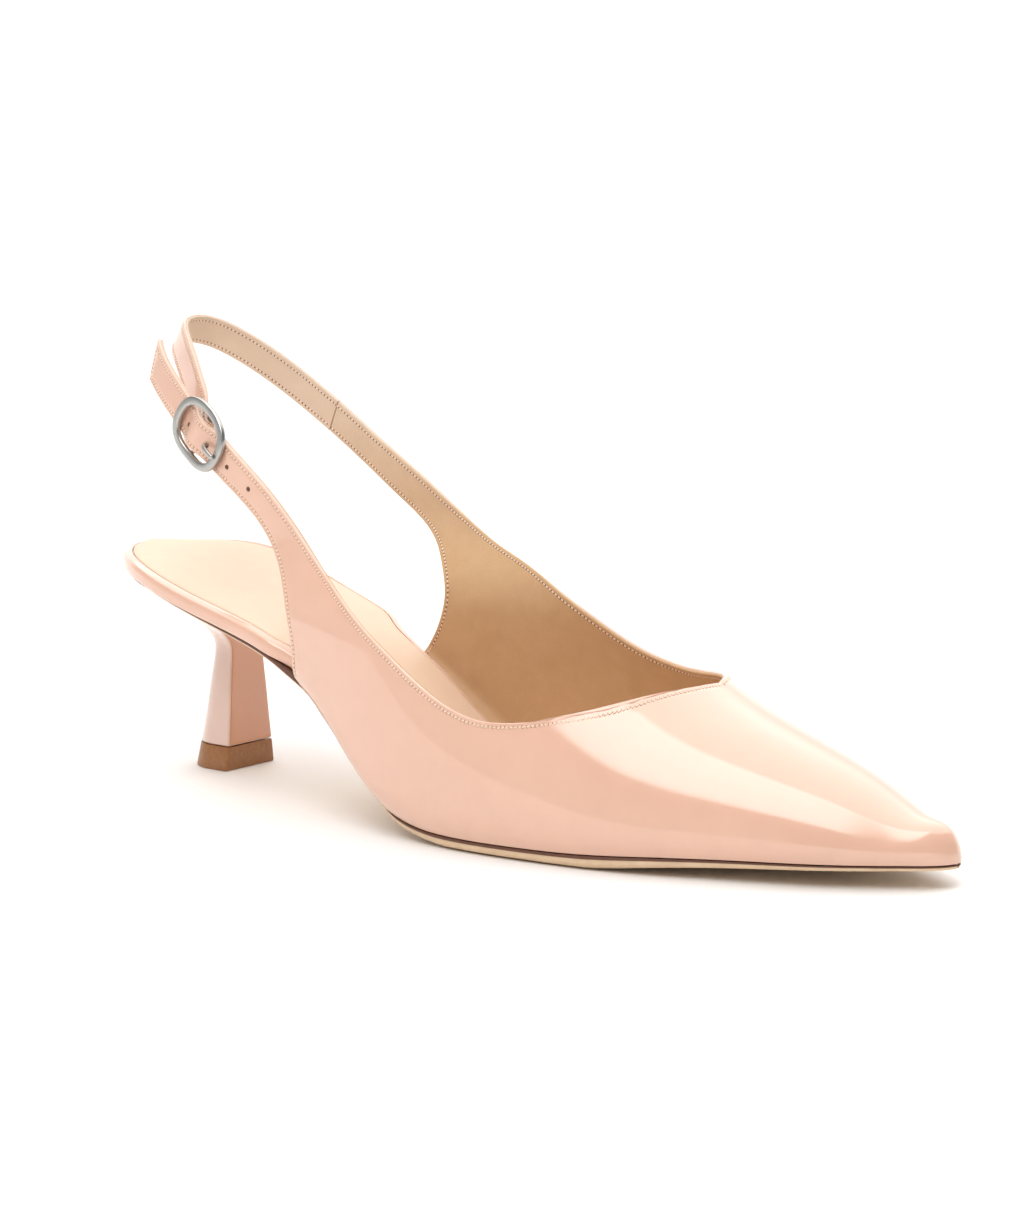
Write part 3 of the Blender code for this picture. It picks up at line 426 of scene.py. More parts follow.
def hump(points):
    """Lift of the buckled strap where it runs over the bar."""
    back, _ = ankle_axes(points[..., 0], points[..., 2])
    turn = np.arcsin(np.clip(back / ANKLE_DEPTH, -1.0, 1.0))
    run = (turn - BUCKLE_TURN) * ring_rate()
    lift = HUMP * np.cos(np.clip(run / HUMP_REACH, -1.0, 1.0) * math.pi / 2.0) ** 2
    return np.where(points[..., 1] < 0.0, lift, 0.0)


def wall_face(along, turn, side):
    """Point and outward direction on the upper's outer face, with the hump over the bar."""
    points = skin(along, turn, side)
    normal = skin_normal(along, turn, side)
    points[:, 2] += GAP * (1.0 - smooth(turn / FOOT_TURN))
    return points + normal * hump(points)[:, None], normal


def strap_frame(run, across, out):
    """Point by the buckle: run back along the strap from the bar, across it and out from the
    face of the ankle's oval tube."""
    run, across, out = np.broadcast_arrays(run, across, out)
    turn = BUCKLE_TURN + run / ring_rate()
    normal = unit(np.stack([np.sin(turn) / ANKLE_DEPTH, -np.cos(turn) / ANKLE_HALF_WIDTH], axis=-1))
    back = ANKLE_DEPTH * np.sin(turn) + out * normal[..., 0]
    side = -ANKLE_HALF_WIDTH * np.cos(turn) + out * normal[..., 1]
    return from_ankle(back, side, BUCKLE_LEAN + across)


def on_last(x, z, side):
    """Place along the last and turn of a point of its side."""
    along = share(x)
    height = np.clip((z - feather_z(x)) / crown_height(along), 0.0, 1.0)
    return float(along), float(np.arcsin(height ** (ROUNDNESS[side] / 2.0)) * 2.0 / math.pi)


def ankle_row(back, lean, side):
    """Row of an edge's table from a point in the ankle's own axes."""
    point = from_ankle(back, 0.0, lean)
    return on_last(point[0], point[2], side)


def strap_rows(edge):
    """Upper (1) or lower (-1) edge of the buckled strap, from its tip towards the quarter."""
    lean = BUCKLE_LEAN + edge * 0.5 * STRAP_WIDTH
    bar = ANKLE_DEPTH * math.sin(BUCKLE_TURN)
    tip = bar + STRAP_TIP + edge * 0.5 * TIP_SLANT
    stops = np.linspace(tip, bar - HOLE_OFFSET - edge * 0.5 * STRAP_WIDTH, 6)
    return [ankle_row(back, lean, LATERAL) for back in stops]


def seam_row(edge):
    """Upper (1) or lower (-1) end of the medial quarter's seam with the back strap."""
    lean = STRAP_RUN["lean"][0] + edge * 0.5 * STRAP_WIDTH
    back = SEAM_BACK + edge * 0.5 * SEAM_SLANT
    return ankle_row(back, lean, MEDIAL)


def walk(rows, shares, first=0, last=-1):
    """Points at given shares of the way between two rows of a smooth curve through the rows."""
    rows = np.array(rows, float)
    scale = np.array([1.0, TURN_LENGTH])
    length = run_length(rows, scale)
    places = length[first] + (length[last] - length[first]) * shares
    return curve_at(length, rows, places)


# Building meshes from arrays

def weld(points, faces):
    """Doubled points made one, and faces that lost a corner made triangles or dropped."""
    key = np.round(points * 1e7).astype(np.int64)
    _, first, index = np.unique(key, axis=0, return_index=True, return_inverse=True)
    faces = index.ravel()[faces]
    kept = []
    for face in faces.tolist():
        corners = [c for k, c in enumerate(face) if c != face[k - 1]]
        if len(corners) > 2:
            kept.append(corners)
    return points[first], kept


def outwards(points, faces):
    """The faces, turned round when the signed volume says that they point in."""
    fans = [(f[0], f[k], f[k + 1]) for f in faces for k in range(1, len(f) - 1)]
    a, b, c = (points[np.array(fans)[:, k]] for k in range(3))
    total = np.einsum("ij,ij->", a, np.cross(b, c))
    return faces if total > 0.0 else [face[::-1] for face in faces]


def scene_object(name, data):
    """Object with this data, in the scene."""
    made = bpy.data.objects.new(name, data)
    bpy.context.scene.collection.objects.link(made)
    return made


def add_piece(name, points, faces, finish, slot, nodes, sharp=40.0, turn_out=True):
    """Object at the origin from arrays, riding on the shoe and standing for its solids."""
    if turn_out:
        faces = outwards(points, faces)
    mesh = bpy.data.meshes.new(name)
    mesh.from_pydata(points.tolist(), [], faces)
    mesh.shade_smooth()
    mesh.set_sharp_from_angle(angle=math.radians(sharp))
    mesh.materials.append(finish)
    made = scene_object(name, mesh)
    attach(made, "root")
    if nodes:
        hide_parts(*nodes)
    return made


def grid_faces(columns, rows, start=0):
    """Quads of a grid of points, columns by rows."""
    i, j = np.meshgrid(np.arange(columns - 1), np.arange(rows - 1), indexing="ij")
    a = start + (i * rows + j).ravel()
    return np.stack([a, a + rows, a + rows + 1, a + 1], axis=-1)


def strip(line, other):
    """Quads between two rows of points given by their indices."""
    line, other = np.asarray(line), np.asarray(other)
    return np.stack([line[:-1], line[1:], other[1:], other[:-1]], axis=-1)


def loft(loops, closed=False):
    """Points and faces of a tube through closed loops that have equally many points. It closes on
    itself, or has a flat cap at each end."""
    loops = np.asarray(loops, float)
    count, size = loops.shape[:2]
    i, j = np.meshgrid(np.arange(count if closed else count - 1), np.arange(size), indexing="ij")
    k = (j + 1) % size
    n = (i + 1) % count
    faces = np.stack([i * size + j, i * size + k, n * size + k, n * size + j], axis=-1)
    faces = faces.reshape(-1, 4).tolist()
    if not closed:
        faces.append(list(range(size))[::-1])
        faces.append([(count - 1) * size + j for j in range(size)])
    return loops.reshape(-1, 3), faces


def joined(first, second):
    """Points and faces of two meshes as one."""
    points, faces = first
    more, others = second
    return np.concatenate([points, more]), faces + [[k + len(points) for k in f] for f in others]


def line_distance(points, lines):
    """Distance from each point to the nearest of some polylines, a block of points at a time."""
    starts = np.concatenate([line[:-1] for line in lines])
    steps = np.concatenate([np.diff(line, axis=0) for line in lines])
    squares = np.maximum((steps ** 2).sum(-1), 1e-18)
    found = np.empty(len(points))
    for block in range(0, len(points), 1500):
        gaps = points[block:block + 1500, None] - starts
        shares = np.clip((gaps * steps).sum(-1) / squares, 0.0, 1.0)
        gaps -= shares[..., None] * steps
        found[block:block + 1500] = np.sqrt((gaps ** 2).sum(-1).min(axis=1))
    return found


def rounding(distance, radius):
    """How far a face falls back at a distance from its edge, which a quarter circle rounds."""
    inside = np.clip(radius - distance, 0.0, radius)
    return radius - np.sqrt(radius * radius - inside * inside)


def groove(distance):
    """Dent of the row of stitches at a distance from the edge: a bell curve."""
    return GROOVE * np.exp(-((distance - STITCH_INSET) / GROOVE_WIDTH) ** 2)


# Upper

def upper_columns(side):
    """Lower and upper end of each column, from the quarter's end to the toe."""
    top_back, top_front, back_edge = {
        LATERAL: (LATERAL_TOP_BACK, LATERAL_TOP_FRONT, LATERAL_BACK_EDGE),
        MEDIAL: (MEDIAL_TOP_BACK, MEDIAL_TOP_FRONT, MEDIAL_BACK_EDGE)}[side]
    ends = {LATERAL: strap_rows, MEDIAL: lambda edge: [seam_row(edge)]}[side]
    top = ends(1) + top_back + top_front
    joint = len(ends(1) + top_back) - 1
    back_edge = ends(-1) + back_edge
    foot = back_edge[-1][0]
    apex = top_front[-1][0]
    rough = walk(top, np.linspace(0.0, 1.0, 200), last=joint)
    rough = skin(rough[:, 0], rough[:, 1], side)
    length = np.linalg.norm(np.diff(rough, axis=0), axis=1).sum()
    steady = np.linspace(END_STEPS[-1] * 1.4 / length, 1.0, QUARTER_COLUMNS[side] - len(END_STEPS))
    quarter = np.r_[END_STEPS / length, steady]
    side_share = np.linspace(0.0, 1.0, SIDE_COLUMNS + 1)[1:]
    growth = (np.arange(1, VAMP_COLUMNS + 1) / VAMP_COLUMNS) ** 1.7
    side_foot = foot + (APEX_FOOT - foot) * side_share
    vamp_foot = unarc(arc(APEX_FOOT) + (arc(TOE_END) - arc(APEX_FOOT)) * growth)
    vamp_top = unarc(arc(apex) + (arc(TOE_END) - arc(apex)) * growth)
    low = np.concatenate([walk(back_edge, quarter),
                          np.stack([side_foot, 0.0 * side_foot], axis=-1),
                          np.stack([vamp_foot, 0.0 * vamp_foot], axis=-1)])
    high = np.concatenate([walk(top, quarter, last=joint),
                           walk(top, side_share, first=joint),
                           np.stack([vamp_top, 1.0 + 0.0 * vamp_top], axis=-1)])
    return low, high


def upper_side(side):
    """Grid of one side: places, outer points, directions and distances from its edges. The rows
    lie at EDGE_STEPS from both ends of a column, and evenly between them."""
    low, high = upper_columns(side)
    probe = np.linspace(0.0, 1.0, 33)[None, :, None]
    probe = low[:, None] * (1.0 - probe) + high[:, None] * probe
    fine = skin(probe[..., 0].ravel(), probe[..., 1].ravel(), side).reshape(*probe.shape[:2], 3)
    length = np.linalg.norm(np.diff(fine, axis=1), axis=-1).cumsum(axis=1)
    length = np.concatenate([np.zeros((len(length), 1)), length], axis=1)
    total = length[:, -1:]
    scale = np.minimum(1.0, 0.46 * total / EDGE_STEPS[-1])
    near = EDGE_STEPS[None] * scale
    middle = np.linspace(0.0, 1.0, MIDDLE_ROWS + 2)[1:-1][None]
    between = near[:, -1:] + (total - 2.0 * near[:, -1:]) * middle
    wanted = np.concatenate([near, between, total - near[:, ::-1]], axis=1)
    shares = np.stack([np.interp(w, l, probe_share) for w, l, probe_share in
                       zip(wanted, length, np.broadcast_to(np.linspace(0.0, 1.0, 33), length.shape))])
    place = low[:, None] * (1.0 - shares[..., None]) + high[:, None] * shares[..., None]
    along = place[..., 0].ravel()
    turn = np.clip(place[..., 1].ravel(), 0.0, 1.0)
    points, normal = wall_face(along, turn, side)
    shape = place.shape[:2]
    grid = points.reshape(*shape, 3)
    quarter = QUARTER_COLUMNS[side]
    edges = [grid[:quarter + SIDE_COLUMNS, -1], grid[:quarter, 0], grid[0]]
    sewn = edges if side == LATERAL else edges[:2]
    return {"side": side, "place": place, "points": grid, "normal": normal.reshape(*shape, 3),
            "edge": line_distance(points, edges).reshape(shape), "edges": sewn,
            "sewn": line_distance(points, sewn).reshape(shape)}


def layer(name, sides, outer_depth, inner_depth, outer_round, inner_round, dent, finish, slot, nodes):
    """One layer of the upper's wall as a closed shell: each face is the outer grid moved in along
    its own direction, less the rounding near the edges and the dent of the stitches."""
    faces_out, faces_in = [], []
    for part in sides:
        fall = outer_depth + rounding(part["edge"], outer_round) + dent * groove(part["sewn"])
        rear = inner_depth - rounding(part["edge"], inner_round)
        faces_out.append(part["points"] - part["normal"] * fall[..., None])
        faces_in.append(part["points"] - part["normal"] * rear[..., None])
    outer = np.concatenate([faces_out[0], faces_out[1][::-1]])
    inner = np.concatenate([faces_in[0], faces_in[1][::-1]])
    columns, rows = outer.shape[:2]
    inside = columns * rows
    open_lateral = QUARTER_COLUMNS[LATERAL] + SIDE_COLUMNS
    open_medial = columns - QUARTER_COLUMNS[MEDIAL] - SIDE_COLUMNS
    index = np.arange(columns * rows).reshape(columns, rows)
    top = index[:, -1]
    faces = [grid_faces(columns, rows), grid_faces(columns, rows, inside)[:, ::-1],
             strip(index[:, 0] + inside, index[:, 0]),
             strip(top[:open_lateral], top[:open_lateral] + inside),
             strip(top[open_medial:], top[open_medial:] + inside),
             strip(index[0], index[0] + inside),
             strip(index[-1] + inside, index[-1])]
    points, faces = weld(np.concatenate([outer.reshape(-1, 3), inner.reshape(-1, 3)]),
                         np.concatenate(faces))
    return add_piece(name, points, faces, finish, slot, nodes)


# Stitches

def wall_move(place, move, side):
    """Places on the wall after a short move in space: the least squares step in along and turn."""
    step = 1e-4
    origin, _ = wall_face(place[:, 0], place[:, 1], side)
    ahead = (wall_face(place[:, 0] + step, place[:, 1], side)[0] - origin) / step
    inner = np.where(place[:, 1] > 0.5, -step, step)
    climb = (wall_face(place[:, 0], place[:, 1] + inner, side)[0] - origin) / inner[:, None]
    aa, ab, bb = ((p * q).sum(-1) for p, q in ((ahead, ahead), (ahead, climb), (climb, climb)))
    ma, mb = (ahead * move).sum(-1), (climb * move).sum(-1)
    scale = aa * bb - ab * ab
    return place + np.stack([(ma * bb - mb * ab) / scale, (mb * aa - ma * ab) / scale], axis=-1)


def inset_line(part, from_top, stop):
    """Places along the row of stitches: the edge's own points moved in over the wall, square to the
    edge, by STITCH_INSET, without those that come nearer to another stretch of the edge."""
    side = part["side"]
    place = part["place"][:stop, -1 if from_top else 0].copy()
    place[:, 1] = np.clip(place[:, 1], 0.0, 1.0)
    edge, normal = wall_face(place[:, 0], place[:, 1], side)
    run = unit(np.gradient(edge, axis=0))
    inwards = np.cross(normal, run) * (side if from_top else -side)
    target = edge + inwards * STITCH_INSET
    for _ in range(4):
        points, _ = wall_face(place[:, 0], place[:, 1], side)
        place = wall_move(place, target - points, side)
        place[:, 1] = np.clip(place[:, 1], 0.0, 1.0)
    points, _ = wall_face(place[:, 0], place[:, 1], side)
    clear = line_distance(points, part["edges"]) > CLEAR_SHARE * STITCH_INSET
    return place[clear]


def stitch_rows(part):
    """Point, outward direction and running direction of each stitch on one side of the upper."""
    quarter = QUARTER_COLUMNS[part["side"]]
    top = inset_line(part, True, quarter + SIDE_COLUMNS)
    back = inset_line(part, False, quarter)
    lines = [top, back]
    if part["side"] == LATERAL:
        lines.append(np.linspace(top[0], back[0], 24))
    found = []
    for line in lines:
        points, _ = wall_face(line[:, 0], line[:, 1], part["side"])
        length = run_length(points)
        stops = np.arange(0.4 * STITCH_PITCH, length[-1], STITCH_PITCH)
        along = np.interp(stops, length, line[:, 0])
        turn = np.interp(stops, length, line[:, 1])
        points, normal = wall_face(along, turn, part["side"])
        run = unit(np.gradient(points, axis=0))
        found.append((points, normal, run))
    return [np.concatenate(column) for column in zip(*found)]


def slanted(normal, run, slant):
    """Directions across a row of stitches and along its slanted stitches."""
    across = np.cross(normal, run)
    return across, run * math.cos(slant) + across * math.sin(slant)


def stitch_mesh(points, normal, run, slant):
    """Lozenges of thread: six-sided tubes that narrow at both ends, one for each point."""
    _, ahead = slanted(normal, run, slant)
    aside = np.cross(normal, ahead)
    u = np.array([-1.0, -0.72, 0.0, 0.72, 1.0])
    swell = np.array([0.35, 0.82, 1.0, 0.82, 0.35])
    angle = np.arange(6) * math.pi / 3.0
    shape = (points[:, None, None] + ahead[:, None, None] * (STITCH_HALF * u)[None, :, None, None]
             + aside[:, None, None] * (STITCH_WIDE * swell[:, None] * np.cos(angle))[None, ..., None]
             + normal[:, None, None] * (STITCH_HIGH * swell[:, None] * np.sin(angle))[None, ..., None])
    count = len(points)
    i, j = np.meshgrid(np.arange(4), np.arange(6), indexing="ij")
    k = (j + 1) % 6
    one = np.stack([i * 6 + j, i * 6 + k, (i + 1) * 6 + k, (i + 1) * 6 + j], axis=-1).reshape(-1, 4)
    start = np.arange(count)[:, None, None] * 30
    faces = (start + one).reshape(-1, 4).tolist()
    caps = np.stack([np.arange(6)[::-1], 24 + np.arange(6)])
    faces += (start + caps).reshape(-1, 6).tolist()
    return shape.reshape(-1, 3), faces


def needle_mesh(points, normal, run, slant, radius):
    """Needle holes: small seven-sided discs at both ends of each stitch."""
    across, ahead = slanted(normal, run, slant)
    centres = np.concatenate([points + ahead * STITCH_HALF, points - ahead * STITCH_HALF])
    run, across = np.concatenate([run, run]), np.concatenate([across, across])
    angle = np.arange(7) * 2.0 * math.pi / 7.0
    ring = (centres[:, None] + run[:, None] * (radius * np.cos(angle))[None, :, None]
            + across[:, None] * (radius * np.sin(angle))[None, :, None])
    faces = (np.arange(len(centres))[:, None] * 7 + np.arange(7)).tolist()
    return ring.reshape(-1, 3), faces


def sew(name, points, normal, run, thickness, thread, hole_shade):
    """Stitches on the outer face, and their lower thread and needle holes on the inner face; the needle
    holes are discs of painted shade.
    """
    outside = points - normal * (GROOVE - 0.5 * STITCH_HIGH)
    inside = points - normal * (thickness - 0.2 * STITCH_HIGH)
    mesh = joined(stitch_mesh(outside, normal, run, STITCH_SLANT), stitch_mesh(inside, -normal, run, 0.0))
    add_piece(name + "_stitches", *mesh, thread, "lining_leather", ())
    outside = points - normal * (GROOVE - NEEDLE_LIFT)
    inside = points - normal * (thickness + LINING_LIFT)
    mesh = joined(needle_mesh(outside, normal, run, STITCH_SLANT, NEEDLE),
                  needle_mesh(inside, -normal, run, 0.0, LINING_NEEDLE))
    add_piece(name + "_needle_holes", *mesh, hole_shade, "lining_leather", (), turn_out=False)


# Sole, board and sock

PLATE_STATIONS = unarc(np.linspace(0.012, math.pi - 0.012, 190))


def outline(along, side, inset):
    """Points of a plate's outline, moved inwards in plan along the last's own normal."""
    angle = arc(along)
    before, after = unarc(angle - 1e-3), unarc(angle + 1e-3)
    run = station(after) - station(before)
    rise = feather_half(after, side) - feather_half(before, side)
    length = np.hypot(run, rise)
    x = station(along) + inset * rise / length
    half = feather_half(along, side) - inset * run / length
    return x, np.maximum(half, 1e-5)


def plate(base, profile, lift=0.0):
    """Loops of a solid with the last's outline. A row of the profile gives inset, height above
    the feather line and share of the way out, from the underside's middle round to the top's. The
    lift raises the medial side's outer rows by a share of each row's height."""
    near, far = [], []
    for inset, height, out in profile:
        for side, rows in ((LATERAL, near), (MEDIAL, far)):
            x, half = outline(PLATE_STATIONS, side, base + inset)
            climbed = np.clip(height / board_top(PLATE_STATIONS), 0.0, 1.0)
            raised = lift * out * climbed * (side == MEDIAL)
            rows.append(np.stack([x, side * half * out, feather_z(x) + height + raised], axis=-1))
    return np.stack(near + far[::-1], axis=1)


def sole_thickness(along):
    """Thickness of the outsole at a place along the last."""
    return OUTSOLE * OUTSOLE_SHARE(along)


def sole_inset(along):
    """Inset of the outsole, which lies further in than the upper where the waist arches."""
    waist = smooth((along - 0.30) / 0.05) * (1.0 - smooth((along - 0.43) / 0.06))
    return tuck(along) + WAIST_INSET * waist


def build_outsole(finish):
    """Leather outsole as one plate: a thin dyed edge, a pale bevel that curves in under it, and a
    flat tread. At the waist the edge takes less of the thickness, and there is no undercut. The
    dye attribute is 1 on the edge."""
    along = PLATE_STATIONS
    bottom = np.maximum(-feather_z(station(along)), -sole_thickness(along))
    waist = smooth((along - 0.325) / 0.03) * (1.0 - smooth((along - 0.42) / 0.06))
    seat = smooth((along - 0.02) / 0.28) * (1.0 - smooth((along - 0.33) / 0.03))
    edge = (EDGE_SHARE - 0.30 * waist + 0.30 * seat) * bottom
    rest = bottom - edge
    under = (1.0 - waist) * SOLE_UNDERCUT
    rows = [(under + TREAD_RUN, bottom, 0.25), (under + TREAD_RUN, bottom, 0.6),
            (under + 0.0012, bottom, 0.98), (under, bottom, 1.0)]
    rows += [(inward * under, edge + down * rest, 1.0) for inward, down in
             ((0.66, 0.93), (0.36, 0.80), (0.15, 0.66), (0.06, 0.52), (0.02, 0.28), (0.01, 0.05),
              (0.01, 0.0))]
    rows += [(inset, down * edge, out) for inset, down, out in
             ((0.0, 0.93, 1.0), (0.0, 0.60, 1.0), (0.0, 0.25, 1.0), (0.00010, 0.06, 1.0),
              (0.00025, 0.0, 1.0), (0.0012, 0.0, 0.9), (0.0012, 0.0, 0.3))]
    dye = np.array([0, 0, 0, 0, 0, 0, 0, 0, 0, 0.15, 0.90, 1, 1, 1, 1, 1, 1, 1], float)
    loops = plate(sole_inset(along), rows)
    loops[..., 2] = np.maximum(loops[..., 2], 0.0)
    points, faces = loft(loops)
    made = add_piece("outsole_skin", points, faces, finish, "sole_leather", ("outsole",), sharp=50.0)
    values = np.broadcast_to(np.r_[dye, dye[::-1]], loops.shape[:2])
    mark = made.data.attributes.new("dye", "FLOAT", "POINT")
    mark.data.foreach_set("value", np.ascontiguousarray(values.ravel(), dtype=np.float32))
    return made


def foot_wall(along):
    """Thickness of the wall measured level at its lower edge, where it slants in to the sole."""
    return WALL * np.hypot(1.0, 2.0 * tuck(along) / TUCK_RISE)


def board_inset(along):
    """None under the seat, where the board's cover shows, then inside the quarters' wall."""
    inside = smooth((along - QUARTER_END) / BOARD_STEP + 1.0)
    return inside * (tuck(along) + foot_wall(along) + GAP)


def rim(along):
    """Width of the board's rim, which the sock covers nearly all of inside the quarters."""
    return RIM + (COVERED_RIM - RIM) * smooth((along - QUARTER_END) / BOARD_STEP)


def board_top(along):
    """Top of the board's rim above the feather line."""
    return GAP + BOARD * BOARD_SHARE(along)


def rim_lift(along):
    """How much higher the medial rim of the seat stands than the lateral one."""
    return RIM_LIFT * smooth(along / 0.10) * (1.0 - smooth((along - 0.09) / 0.15))


def build_board(finish):
    """Covered board: rounded lower corner, upright band, soft crest, and the sloping rim that runs
    in to the recess of the sock."""
    along = PLATE_STATIONS
    top = board_top(along)
    low = GAP + 0.0 * along
    width = rim(along)
    crest = top - CREST_DROP
    rows = [(0.0030, low, 0.3), (0.0030, low, 0.8)]
    rows += [(r * BOARD_CORNER, low + BOARD_CORNER * h, 1.0) for r, h in
             ((1.6, 0.0), (1.0, 0.0), (0.62, 0.08), (0.29, 0.29), (0.08, 0.62), (0.0, 1.0))]
    rows += [(-0.00012, low + 0.45 * (crest - low), 1.0), (-0.00008, low + 0.62 * (crest - low), 1.0),
             (0.0, low + 0.82 * (crest - low), 1.0), (0.00010, crest - 0.00025, 1.0),
             (0.00028, crest, 1.0), (0.00055, crest + 0.00020, 1.0),
             (0.30 * width + 0.0003, top - 0.00036, 1.0), (0.62 * width + 0.0002, top - 0.00016, 1.0),
             (0.90 * width, top - 0.00002, 1.0), (width, top - 0.00010, 1.0),
             (width + 0.00008, top - 0.00050, 1.0), (width + 0.5 * GAP, top - SOCK_RECESS, 1.0),
             (width + 0.002, top - SOCK_RECESS, 0.6), (width + 0.002, top - SOCK_RECESS, 0.2)]
    points, faces = loft(plate(board_inset(along), rows, rim_lift(along)))
    return add_piece("covered_board", points, faces, finish, "patent_leather", ("insole_board",),
                     sharp=60.0)


def build_sock(finish):
    """Padded sock: a thin rounded edge in the recess, a low cushion over the seat and a slight
    hollow across the forepart."""
    along = PLATE_STATIONS
    base = board_inset(along)
    low = board_top(along) - SOCK_RECESS + GAP
    edge = rim(along) + 0.00030
    high = board_top(along) + 0.00002
    pad = PAD * (1.0 - smooth((along - 0.16) / 0.16))
    rows = [(edge + 0.002, low, 0.3), (edge + 0.0004, low, 1.0), (edge, low + 0.0001, 1.0),
            (edge, high - 0.00035, 1.0), (edge + 0.00006, high - 0.00014, 1.0),
            (edge + 0.00022, high, 1.0), (edge + 0.0005, high + 0.00010, 1.0),
            (edge + 0.0012, high + 0.00016 + 0.25 * pad, 1.0),
            (edge + 0.0012, high + 0.00018 + 0.55 * pad, 0.86),
            (edge + 0.0012, high + 0.00018 + 0.85 * pad, 0.66),
            (edge + 0.0012, high + 0.00018 + 0.98 * pad, 0.40), (edge + 0.0012, high + 0.00018 + pad, 0.13)]
    points, faces = loft(plate(base, rows, 0.75 * rim_lift(along)))
    return add_piece("sock", points, faces, finish, "lining_leather", ("sock_lining",), sharp=60.0)


# Heel

HEEL = table("rise width cup front back flat", [
    (0.00, 0.890, 0.00, 1.04, 0.86, 0.42),
    (0.20, 0.810, 0.00, 1.01, 0.62, 0.42),
    (0.40, 0.735, 0.00, 0.98, 0.43, 0.42),
    (0.58, 0.660, 0.00, 0.95, 0.27, 0.40),
    (0.67, 0.655, 0.01, 0.95, 0.28, 0.38),
    (0.76, 0.700, 0.12, 0.97, 0.42, 0.36),
    (0.84, 0.760, 0.36, 1.00, 0.70, 0.34),
    (0.91, 0.820, 0.66, 1.10, 1.00, 0.32),
    (0.96, 0.860, 0.86, 1.25, 1.10, 0.30),
    (1.00, 0.900, 1.00, 1.40, 1.15, 0.28)])


def d_loop(front, back, half, flat, corner):
    """Closed outline with a flat front, rounded front corners, straight sides and a round back."""
    middle = front - flat * (front - back)
    turn = np.linspace(-math.pi / 2.0, math.pi / 2.0, 49)
    bend = np.linspace(0.0, math.pi / 2.0, 7)
    face = np.linspace(0.85, -0.85, 9) * (half - corner)
    side = np.linspace(0.15, 0.85, 5)
    x = np.concatenate([middle - (middle - back) * np.cos(turn),
                        middle + (front - corner - middle) * side,
                        front - corner + corner * np.sin(bend), 0.0 * face + front,
                        front - corner + corner * np.cos(bend),
                        front - corner - (front - corner - middle) * side])
    y = np.concatenate([half * np.sin(turn), 0.0 * side + half, half - corner + corner * np.cos(bend),
                        face, -half + corner - corner * np.sin(bend), 0.0 * side - half])
    return x, y


def heel_underside(x):
    """Height of the heel's seat, just under the outsole."""
    return feather_z(x) - sole_thickness(share(x)) - GAP


def build_heel(finish):
    """Covered heel: waisted above the top piece and opened into a cup under the seat."""
    columns = {name: spline(HEEL["rise"], HEEL[name]) for name in HEEL if name != "rise"}
    seat_back = HEEL_SETBACK - CUP_INSET - TUCK
    seat_half = 0.5 * SEAT_WIDTH - CUP_INSET - TUCK * 0.6
    loops = []
    for rise in np.r_[0.0, 0.004, 0.012, np.linspace(0.03, 0.985, 64), 0.993, 1.0]:
        cup = float(np.clip(columns["cup"](rise), 0.0, 1.0))
        lip = HEEL_LIP * (1.0 - min(1.0, rise / HEEL_LIP_RISE)) ** 2
        half = (1.0 - cup) * 0.5 * HEEL_WIDTH * columns["width"](rise) + cup * seat_half - lip
        back = (1.0 - cup) * HEEL_BACK * columns["back"](rise) + cup * seat_back - lip
        x, y = d_loop(HEEL_FRONT * columns["front"](rise) - lip, -back, half, columns["flat"](rise),
                      HEEL_CORNER)
        base = TOP_PIECE + GAP
        loops.append(np.stack([x, y, base + rise * (heel_underside(x) - base)], axis=-1))
    points, faces = loft(loops)
    return add_piece("heel_cover", points, faces, finish, "patent_leather", ("heel",), sharp=50.0)


def build_top_piece(finish):
    """Top piece: flared with the heel, its lower edge slightly rounded."""
    loops = []
    for height, width, front, back, lip in (
            (0.0, 1.0, 1.0, 1.0, 0.00035), (0.0001, 1.0, 1.0, 1.0, 0.00012),
            (0.0004, 0.996, 1.002, 0.995, 0.0), (0.0030, 0.948, 1.02, 0.93, 0.0),
            (TOP_PIECE - 0.0002, 0.895, 1.04, 0.867, 0.0), (TOP_PIECE, 0.893, 1.04, 0.865, 0.00015)):
        x, y = d_loop(HEEL_FRONT * front - lip, -HEEL_BACK * back + lip, 0.5 * HEEL_WIDTH * width - lip,
                      0.42, 0.0006)
        loops.append(np.stack([x, y, 0.0 * x + height], axis=-1))
    points, faces = loft(loops)
    return add_piece("heel_top_piece", points, faces, finish, "heel_rubber", ("top_piece",), sharp=50.0)


# Back strap and buckle

def bar_level():
    """How far out the bar lies: the strap over it clears the fold round it."""
    return HUMP - WALL - GAP - FOLD_THICK - GAP - BAR_RADIUS


def bar_centre():
    """Middle of the buckle's bar in the ankle's axes."""
    normal = unit(np.array([math.sin(BUCKLE_TURN) / ANKLE_DEPTH,
                            -math.cos(BUCKLE_TURN) / ANKLE_HALF_WIDTH]))
    face = np.array([ANKLE_DEPTH * math.sin(BUCKLE_TURN), -ANKLE_HALF_WIDTH * math.cos(BUCKLE_TURN)])
    return face + normal * bar_level()


